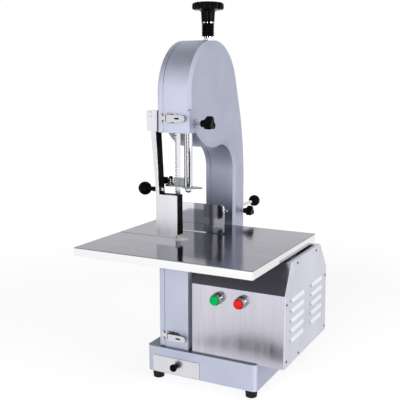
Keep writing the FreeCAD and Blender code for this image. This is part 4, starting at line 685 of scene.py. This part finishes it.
class BONESAW_OT_table(bpy.types.Operator):
    """Finish the brushed table, its support bars and bolts, and the white blade insert"""

    bl_idname = "bonesaw.table"
    bl_label = "Table"

    def execute(self, context):
        sizes = context.scene.saw_sizes
        dress(["table_plate"], "table", sizes.sheet_edge)
        dress(["table_bars"], "plate", sizes.sheet_edge)
        dress(["table_bolts"], "zinc", sizes.sheet_edge)
        dress(["blade_insert"], "acetal", sizes.sheet_edge)
        return {"FINISHED"}


class BONESAW_OT_housing(bpy.types.Operator):
    """Finish the motor housing's sheets, its screws, the cord gland and the motor inside"""

    bl_idname = "bonesaw.housing"
    bl_label = "Motor housing"

    def execute(self, context):
        sizes = context.scene.saw_sizes
        dress(["box_front_panel"], "panel", sizes.sheet_edge)
        dress(["box_cover", "box_inner_side"], "cover", sizes.sheet_edge)
        dress(["box_side_panel"], "sheet", sizes.sheet_edge)
        dress(["cable_gland"], "rail", sizes.sheet_edge)
        dress(["motor_body"], "motor", sizes.sheet_edge)
        dress(["motor_shaft"], "bearing", sizes.sheet_edge)
        shapes = []
        for low, high in clusters("side_screws", 8.0 * MM):
            radius = (high.y - low.y) / 2 / MM
            start = Vector((high.x - 1.5 * MM, (low.y + high.y) / 2, (low.z + high.z) / 2))
            rows = [
                (0, radius), (0.5, radius), (1.1, radius * 0.78), (1.5, radius * 0.42),
                (1.5, radius * 0.36), (0.6, radius * 0.3),
            ]
            shapes.append(turned_rings(in_mm(rows), start, (1, 0, 0), 24))
        points, faces = join_shapes(shapes)
        new_piece("panel_screws", points, faces, "frame", "dark_screw", ("side_screws",))
        return {"FINISHED"}


class BONESAW_OT_buttons(bpy.types.Operator):
    """Turn the two push buttons: coloured caps in bright barrels"""

    bl_idname = "bonesaw.buttons"
    bl_label = "Push buttons"

    def execute(self, context):
        rims = []
        for low, high in clusters("button_bezels", 30.0 * MM):
            start = back_centre(low, high)
            rows = [
                (0, 11.9), (0, 14.5), (1.6, 14.5), (2.2, 13.9), (2.8, 13.9), (3.4, 13.3), (9.0, 13.3),
                (9.4, 12.9), (10.0, 12.9), (10.4, 13.4), (16.2, 13.4), (17.0, 12.9), (17.0, 12.0),
                (14.0, 11.9),
            ]
            rims.append(turned_rings(in_mm(rows), start, (0, -1, 0), 64))
        points, faces = join_shapes(rims)
        faces = [face for face in faces if len(face) == 4]
        new_piece("button_barrels", points, faces, "frame", "barrel", ("button_bezels",))
        for node, finish_name in (("start_button", "start"), ("stop_button", "stop")):
            low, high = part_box(node)
            start = back_centre(low, high)
            tall = (high.y - low.y) / MM
            rows = [
                (0, 10.5), (4, 11.4), (tall - 1.8, 11.4), (tall - 0.7, 11.0), (tall - 0.35, 10.2),
                (tall - 0.5, 9.4), (tall - 0.9, 9.0), (tall - 0.8, 8.0), (tall - 0.4, 5.0),
                (tall - 0.2, 2.0), (tall - 0.15, 0.0),
            ]
            turned_piece(node + "_cap", rows, start, (0, -1, 0), node, finish_name, (node,), 0.15)
        dress(["switch_blocks"], "rail")
        return {"FINISHED"}


class BONESAW_OT_blade_run(bpy.types.Operator):
    """Finish the blade, both wheels, the bearings, the slide block and the wipers"""

    bl_idname = "bonesaw.blade_run"
    bl_label = "Blade run"

    def execute(self, context):
        sizes = context.scene.saw_sizes
        dress(["blade"], "blade")
        dress(["upper_wheel", "lower_wheel", "tension_block"], "iron", sizes.sheet_edge)
        dress(["upper_bearings"], "bearing")
        dress(["guide_blocks"], "steel", sizes.sheet_edge)
        dress(["lower_guide", "blade_scraper"], "acetal", sizes.sheet_edge)
        return {"FINISHED"}


class BONESAW_OT_tension(bpy.types.Operator):
    """Mould the scalloped tension knob over its ribbed spring stack, bright washer and collar"""

    bl_idname = "bonesaw.tension"
    bl_label = "Tension knob"

    def execute(self, context):
        sizes = context.scene.saw_sizes
        low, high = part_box("tension_knob")
        start = base_centre(low, high)
        tall = (high.z - low.z) / MM
        edge = 39.0
        hub = tall - 19.0
        deep = sizes.knob_lobe_depth / MM
        rows = [
            (0, 15.6), (0.8, 16.0), (hub - 5, 17.2), (hub - 1.2, 18.4), (hub + 0.4, 22.0),
            (hub + 1.0, 30.0, 0.3 * deep), (hub + 1.8, 35.5, 0.75 * deep), (hub + 3.4, 38.0, deep),
            (hub + 6.0, edge - 0.2, deep), (hub + 12.0, edge - 0.3, deep), (tall - 3.4, edge - 0.9, deep),
            (tall - 1.5, edge - 2.6, 0.85 * deep), (tall - 0.5, edge - 5.4, 0.55 * deep),
            (tall, edge - 10.0), (tall - 0.1, 26.0), (tall - 1.6, 24.6), (tall - 1.8, 11.0),
            (tall - 0.7, 10.0), (tall - 0.5, 0.0),
        ]
        turned_piece(
            "tension_star_knob", rows, start, (0, 0, 1), "tension_screw", "phenolic", ("tension_knob",), 0.0,
            steps=16 * sizes.knob_lobes, lobes=sizes.knob_lobes, wide=0.55,
        )
        low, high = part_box("disc_springs")
        start = base_centre(low, high)
        pitch = (high.z - low.z) / MM / sizes.spring_ribs
        rows = [(0, 5.4)]
        for rib in range(sizes.spring_ribs):
            base = rib * pitch
            rows += [
                (base, 13.2), (base + 0.16 * pitch, 13.2), (base + 0.26 * pitch, 15.1),
                (base + 0.4 * pitch, 15.5), (base + 0.72 * pitch, 15.5), (base + 0.86 * pitch, 15.1),
                (base + 0.96 * pitch, 13.2),
            ]
        rows += [(sizes.spring_ribs * pitch, 13.0), (sizes.spring_ribs * pitch, 5.4)]
        turned_piece(
            "spring_stack", rows, start, (0, 0, 1), frame_body("disc_springs"), "rail",
            ("disc_springs",), 0.0,
        )
        dress(["knob_washer"], "chrome")
        dress(["tension_collar"], "chrome", sizes.sheet_edge)
        dress(["tension_screw"], "zinc")
        return {"FINISHED"}


def frame_body(node):
    """The body that a CAD node belongs to."""
    return frame["nodes"][node]["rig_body"]


# half the width of a winged knob beside its reach, with one wing straight up
WING_SPREAD = 0.917
# a winged knob that reaches farther than this has the longer head
LONG_HEAD_REACH_MM = 16.5
LONG_HEAD_MM = 30.0
SHORT_HEAD_MM = 26.0


def clamp_knob_pieces(node, name):
    """A three-winged phenolic knob on a bright stem along X."""
    low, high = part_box(node)
    size = (high.y - low.y) / 2 / WING_SPREAD
    start_z = high.z - size
    middle = Vector((0.0, (low.y + high.y) / 2, start_z))
    head = LONG_HEAD_MM if size > LONG_HEAD_REACH_MM * MM else SHORT_HEAD_MM
    head_start = high.x - head * MM
    tip = Vector((low.x, middle.y, middle.z))
    length = (head_start - low.x) / MM
    stem_rows = [(0, 3.4), (0.6, 4.0), (length - 2.5, 4.0), (length - 2.2, 5.4), (length + 1.0, 5.4)]
    turned_piece(
        name + "_stem", stem_rows, tip, (1, 0, 0), frame_body(node), "chrome", (), 0.2, steps=32,
    )
    unit = size / MM
    reach = (high.x - head_start) / MM
    rows = [
        (0, 0.40 * unit), (0.8, 0.46 * unit), (0.28 * reach, 0.56 * unit, 0.06 * unit),
        (0.38 * reach, 0.74 * unit, 0.24 * unit), (0.45 * reach, 0.93 * unit, 0.42 * unit),
        (0.52 * reach, 0.985 * unit, 0.46 * unit), (0.62 * reach, unit, 0.47 * unit),
        (0.88 * reach, unit, 0.47 * unit), (0.95 * reach, 0.96 * unit, 0.45 * unit),
        (0.99 * reach, 0.86 * unit, 0.38 * unit), (reach, 0.66 * unit, 0.24 * unit),
        (0.985 * reach, 0.38 * unit), (0.96 * reach, 0.30 * unit), (0.96 * reach, 0.0),
    ]
    turned_piece(
        name, rows, Vector((head_start, middle.y, middle.z)), (1, 0, 0), frame_body(node), "phenolic",
        (node,), 0.0, steps=96, lobes=3, wide=0.95, phase=wing_phase(),
    )


def wing_phase():
    """Turn that points one wing of a knob along X straight up."""
    spin = Vector((1, 0, 0)).to_track_quat("Z", "Y")
    across = spin @ Vector((1, 0, 0))
    other = spin @ Vector((0, 1, 0))
    return math.atan2(other.z, across.z)


class BONESAW_OT_guide(bpy.types.Operator):
    """Finish the blade guide: bright post, bracket, pin and cap, with its clamp knob and side knob"""

    bl_idname = "bonesaw.guide"
    bl_label = "Blade guide"

    def execute(self, context):
        sizes = context.scene.saw_sizes
        dress(["guide_post", "guide_pin"], "chrome", 0.5 * sizes.sheet_edge)
        dress(["guide_bracket"], "steel", sizes.sheet_edge)
        clamp_knob_pieces("guide_clamp_knob", "guide_clamp_wing_knob")
        low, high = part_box("guide_side_knob")
        middle = (low + high) / 2
        length = (high.x - low.x) / MM
        rows = [
            (0, 5.0), (0.2, 7.2, 0.4), (1.0, 8.8, 1.2), (2.6, 9.4, 1.9), (10.2, 9.4, 1.9), (11.8, 8.8, 1.3),
            (12.6, 7.6, 0.5), (13.0, 4.4), (13.0, 2.4), (length, 2.4),
        ]
        turned_piece(
            "guide_side_star_knob", rows, Vector((low.x, middle.y, middle.z)), (1, 0, 0),
            frame_body("guide_side_knob"), "phenolic", ("guide_side_knob",), 0.0, steps=72, lobes=6, wide=0.5,
        )
        low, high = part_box("pin_cap")
        start = base_centre(low, high)
        rows = [(0, 4.6), (0, 5.2), (2.6, 5.2), (3.9, 4.7), (5.0, 3.6), (5.7, 2.0), (6.0, 0.0)]
        turned_piece(
            "guide_pin_cap", rows, start, (0, 0, 1), frame_body("pin_cap"), "phenolic", ("pin_cap",), 0.2,
            steps=32,
        )
        return {"FINISHED"}


class BONESAW_OT_pusher(bpy.types.Operator):
    """Finish the pusher plate and its black rail, and turn its ball handle"""

    bl_idname = "bonesaw.pusher"
    bl_label = "Meat pusher"

    def execute(self, context):
        sizes = context.scene.saw_sizes
        dress(["pusher_plate", "pusher_bracket"], "plate", sizes.sheet_edge)
        dress(["pusher_rail"], "rail", sizes.sheet_edge)
        dress(["pusher_bolt"], "chrome")
        low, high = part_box("pusher_handle")
        ball = (high.z - low.z) / 2 / MM
        start = Vector((low.x, (low.y + high.y) / 2, (low.z + high.z) / 2))
        length = (high.x - low.x) / MM
        rows = arc_rows(ball, -90, -2, ball) + [(ball - 0.25, ball), (ball + 0.25, ball)]
        rows += arc_rows(ball, 2, 66, ball)
        rows += [
            (ball + 16.4, 5.6), (ball + 18.5, 5.2), (length - 3.0, 7.2), (length - 0.6, 7.5), (length, 7.2),
            (length, 2.2),
        ]
        turned_piece(
            "pusher_ball_handle", rows, start, (1, 0, 0), frame_body("pusher_handle"), "phenolic",
            ("pusher_handle",), 0.0,
        )
        return {"FINISHED"}


class BONESAW_OT_fence(bpy.types.Operator):
    """Finish the fence plate and its rod, and turn the ball and the winged clamp knob"""

    bl_idname = "bonesaw.fence"
    bl_label = "Fence"

    def execute(self, context):
        sizes = context.scene.saw_sizes
        dress(["fence_plate"], "fence", sizes.sheet_edge)
        dress(["fence_rod"], "chrome")
        clamp_knob_pieces("fence_clamp_knob", "fence_clamp_wing_knob")
        low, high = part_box("fence_ball")
        ball = (high.z - low.z) / 2 / MM
        start = back_centre(low, high)
        length = (high.y - low.y) / MM
        rows = arc_rows(ball, -90, -2, ball) + [(ball - 0.25, ball), (ball + 0.25, ball)]
        rows += arc_rows(ball, 2, 58, ball)
        rows += [(length - 2.4, 8.2), (length - 0.4, 7.8), (length, 7.2), (length, 5.1)]
        turned_piece(
            "fence_ball_knob", rows, start, (0, -1, 0), frame_body("fence_ball"), "phenolic",
            ("fence_ball",), 0.0,
        )
        return {"FINISHED"}


class BONESAW_OT_latches(bpy.types.Operator):
    """Finish the two toggle latches"""

    bl_idname = "bonesaw.latches"
    bl_label = "Toggle latches"

    def execute(self, context):
        edge = 0.6 * context.scene.saw_sizes.sheet_edge
        dress(["latch_bases", "latch_keepers", "upper_latch_lever", "lower_latch_lever"], "latch", edge)
        dress(["upper_latch_bail", "lower_latch_bail"], "latch", edge)
        return {"FINISHED"}


class BONESAW_OT_drawer(bpy.types.Operator):
    """Finish the refuse drawer and turn its small knob"""

    bl_idname = "bonesaw.drawer"
    bl_label = "Refuse drawer"

    def execute(self, context):
        dress(["drawer_tray"], "plate", context.scene.saw_sizes.sheet_edge)
        low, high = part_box("drawer_knob")
        start = back_centre(low, high)
        rows = [
            (0, 5.8), (0.8, 6.0), (1.6, 5.0), (2.6, 4.1), (6.4, 3.9), (7.6, 5.0), (8.6, 7.4), (10.2, 8.9),
            (12.6, 9.45), (15.2, 9.0), (17.2, 7.6), (18.6, 5.2), (19.3, 2.8), (19.55, 0.0),
        ]
        turned_piece(
            "drawer_ball_knob", rows, start, (0, -1, 0), frame_body("drawer_knob"), "phenolic",
            ("drawer_knob",), 0.0, steps=48,
        )
        return {"FINISHED"}


def upright(left, right, height):
    """Corners of a card that stands on the floor between two places."""
    return (*left, 0.0), (*right, 0.0), (*right, height), (*left, height)


def level(height, *corners):
    """Corners of a card that lies level."""
    return tuple((*corner, height) for corner in corners)


# all in metres
FLAGS = (
    ("Ceiling flag", level(3.1, (-3.0, -2.2), (0.0, -2.2), (0.0, 0.8), (-3.0, 0.8))),
    ("Camera flag", upright((0.5, -3.0), (1.5, -3.0), 2.2)),
    ("Left flag", upright((-2.6, -0.6), (-2.6, 0.5), 2.2)),
    ("Back left flag", upright((-1.0, 1.3), (-2.0, 0.9), 0.5)),
    ("Right flag", upright((1.5, -2.7), (3.0, -0.95), 1.6)),
    ("Left front flag", upright((-1.05, -2.5), (-0.33, -2.6), 1.8)),
    ("Front flag", upright((-0.40, -2.3), (0.55, -2.3), 1.6)),
    # painted shadow: a dark card where the table's shadow falls on the floor, seen only in polished metal
    ("Floor shadow flag", level(
        0.002, (-0.16, -0.42), (-0.03, -0.52), (0.04, -0.53), (0.16, -0.46), (0.16, -0.39), (0.03, -0.41),
        (-0.02, -0.41),
    )),
)
# name, place and size in metres, power in watts
SOFTBOXES = (
    ("Front softbox", (0.2, -2.8, 0.75), (1.4, 1.3), 63.0),
    ("Right softbox", (2.6, -0.3, 0.9), (1.6, 1.2), 25.0),
    ("Top softbox", (0.4, 0.9, 2.7), (1.8, 1.8), 3.0),
)
SOFTBOX_AIM = (0.0, 0.0, 0.45)
FLOOR_REACH = 9.0
# the world's strength where it lights the saw, beside 1.0 where it is seen or mirrored
WORLD_FILL = 0.27
CAMERA_PLACE = (0.7546, -1.5862, 0.7369)
CAMERA_FORWARD = (-0.4543, 0.8747, -0.1692)
CAMERA_RIGHT = (0.8875, 0.4609, 0.0)
CAMERA_LENS_MM = 63.1
CAMERA_SENSOR_MM = 36.0


class BONESAW_OT_studio(bpy.types.Operator):
    """Set up the pale floor, the soft lights, the black flags, the world and the camera"""

    bl_idname = "bonesaw.studio"
    bl_label = "Studio"

    def flag(self, context, name, corners):
        """A black card that only shows in polished metal, as a studio uses to give steel its dark streaks."""
        card = bpy.data.objects.new(name.replace(" ", "_").lower(), bpy.data.meshes.new(name))
        card.data.from_pydata(corners, [], [tuple(range(len(corners)))])
        if "Black flag cloth" not in bpy.data.materials:
            material = new_material("Black flag cloth")
            cloth = mottled(material, noise_at(material, 30.0, 2.0), linear("#141416"), linear("#26262A"))
            matt = add(material, "ShaderNodeBsdfDiffuse", None, {"Color": cloth})
            add(material, "ShaderNodeOutputMaterial", None, {"Surface": matt.outputs[0]})
        card.data.materials.append(bpy.data.materials["Black flag cloth"])
        card.visible_camera = False
        card.visible_diffuse = False
        card.visible_shadow = False
        context.scene.collection.objects.link(card)

    def floor(self, context):
        """A pale floor that glows nearly white to the camera and in polished metal, more so farther out."""
        material = new_material("Pale studio floor")
        pale = context.scene.saw_colours.floor
        tone = mottled(material, noise_at(material, 60.0, 2.0), shade(pale, 0.995), pale)
        rays = add(material, "ShaderNodeLightPath").outputs
        seen = calculate(material, "MAXIMUM", rays["Is Camera Ray"], rays["Is Glossy Ray"])
        place = add(material, "ShaderNodeTexCoord")
        away = add(material, "ShaderNodeVectorMath", {"operation": "LENGTH"}, {0: place.outputs["Object"]})
        fill = ranged(material, away.outputs["Value"], 0.9, 3.0, 0.80, 1.0)
        strength = calculate(material, "MULTIPLY", seen, fill)
        matt = add(material, "ShaderNodeBsdfDiffuse", None, {"Color": tone})
        glow = add(material, "ShaderNodeEmission", None, {"Color": (1, 1, 1, 1), "Strength": strength})
        both = add(material, "ShaderNodeAddShader", None, {0: matt.outputs[0], 1: glow.outputs[0]})
        add(material, "ShaderNodeOutputMaterial", None, {"Surface": both.outputs[0]})
        ground = bpy.data.objects.new("studio_floor", bpy.data.meshes.new("studio_floor"))
        reach = FLOOR_REACH
        corners = level(CAD_BOX[0][2], (-reach, -reach), (reach, -reach), (reach, reach), (-reach, reach))
        ground.data.from_pydata(corners, [], [(0, 1, 2, 3)])
        ground.data.materials.append(material)
        context.scene.collection.objects.link(ground)

    def world(self, context):
        """A white world that is seen and mirrored at full strength, and lights the saw more faintly."""
        world = bpy.data.worlds.new("Studio light")
        context.scene.world = world
        world.use_nodes = True
        world.node_tree.nodes.clear()
        rays = add(world, "ShaderNodeLightPath").outputs
        seen = calculate(world, "MAXIMUM", rays["Is Camera Ray"], rays["Is Glossy Ray"])
        direct = calculate(world, "MAXIMUM", seen, rays["Is Transmission Ray"])
        reach = {"Value": direct, "To Min": WORLD_FILL, "To Max": 1.0}
        strength = add(world, "ShaderNodeMapRange", None, reach).outputs[0]
        white = {"Color": (1.0, 1.0, 1.0, 1.0), "Strength": strength}
        background = add(world, "ShaderNodeBackground", None, white)
        add(world, "ShaderNodeOutputWorld", None, {"Surface": background.outputs[0]})

    def softbox(self, context, name, place, size, power):
        """A large rectangular lamp turned to the middle of the saw."""
        lamp = bpy.data.lights.new(name, "AREA")
        lamp.shape = "RECTANGLE"
        lamp.size, lamp.size_y = size
        lamp.energy = power
        holder = bpy.data.objects.new(name, lamp)
        context.scene.collection.objects.link(holder)
        holder.location = place
        aim = Vector(SOFTBOX_AIM) - holder.location
        holder.rotation_euler = aim.to_track_quat("-Z", "Y").to_euler()

    def camera(self, context):
        """The camera, in front of the saw and to its right, looking slightly down."""
        camera = bpy.data.objects.new("Camera", bpy.data.cameras.new("Camera"))
        context.scene.collection.objects.link(camera)
        camera.data.sensor_width = CAMERA_SENSOR_MM
        camera.data.lens = CAMERA_LENS_MM
        forward = Vector(CAMERA_FORWARD).normalized()
        right = Vector(CAMERA_RIGHT).normalized()
        above = right.cross(forward)
        turn = Matrix((right, above, -forward)).transposed().to_4x4()
        camera.matrix_world = Matrix.Translation(CAMERA_PLACE) @ turn
        context.scene.camera = camera

    def execute(self, context):
        self.floor(context)
        for name, corners in FLAGS:
            self.flag(context, name, corners)
        self.world(context)
        for name, place, size, power in SOFTBOXES:
            self.softbox(context, name, place, size, power)
        self.camera(context)
        context.scene.view_settings.view_transform = "Standard"
        return {"FINISHED"}


OPERATORS = (
    BONESAW_OT_castings, BONESAW_OT_feet, BONESAW_OT_table, BONESAW_OT_housing, BONESAW_OT_buttons,
    BONESAW_OT_blade_run, BONESAW_OT_tension, BONESAW_OT_guide, BONESAW_OT_pusher, BONESAW_OT_fence,
    BONESAW_OT_latches, BONESAW_OT_drawer, BONESAW_OT_studio,
)


class BONESAW_PT_panel(bpy.types.Panel):
    """Sizes, colours and steps of the bone saw's finish"""

    bl_idname = "BONESAW_PT_panel"
    bl_label = "Bone Saw"
    bl_space_type = "VIEW_3D"
    bl_region_type = "UI"
    bl_category = "Bone Saw"

    def draw(self, context):
        for group in (context.scene.saw_sizes, context.scene.saw_colours):
            box = self.layout.box()
            for key in group.__annotations__:
                box.prop(group, key)
        for operator in OPERATORS:
            self.layout.operator(operator.bl_idname)


CLASSES = (SawSizes, SawColours) + OPERATORS + (BONESAW_PT_panel,)


def register():
    for entry in CLASSES:
        bpy.utils.register_class(entry)
    bpy.types.Scene.saw_sizes = bpy.props.PointerProperty(type=SawSizes)
    bpy.types.Scene.saw_colours = bpy.props.PointerProperty(type=SawColours)


def unregister():
    del bpy.types.Scene.saw_colours
    del bpy.types.Scene.saw_sizes
    for entry in reversed(CLASSES):
        bpy.utils.unregister_class(entry)


def main():
    register()
    for operator in OPERATORS:
        area, step = operator.bl_idname.split(".")
        getattr(getattr(bpy.ops, area), step)()


if __name__ == "__main__":
    main()
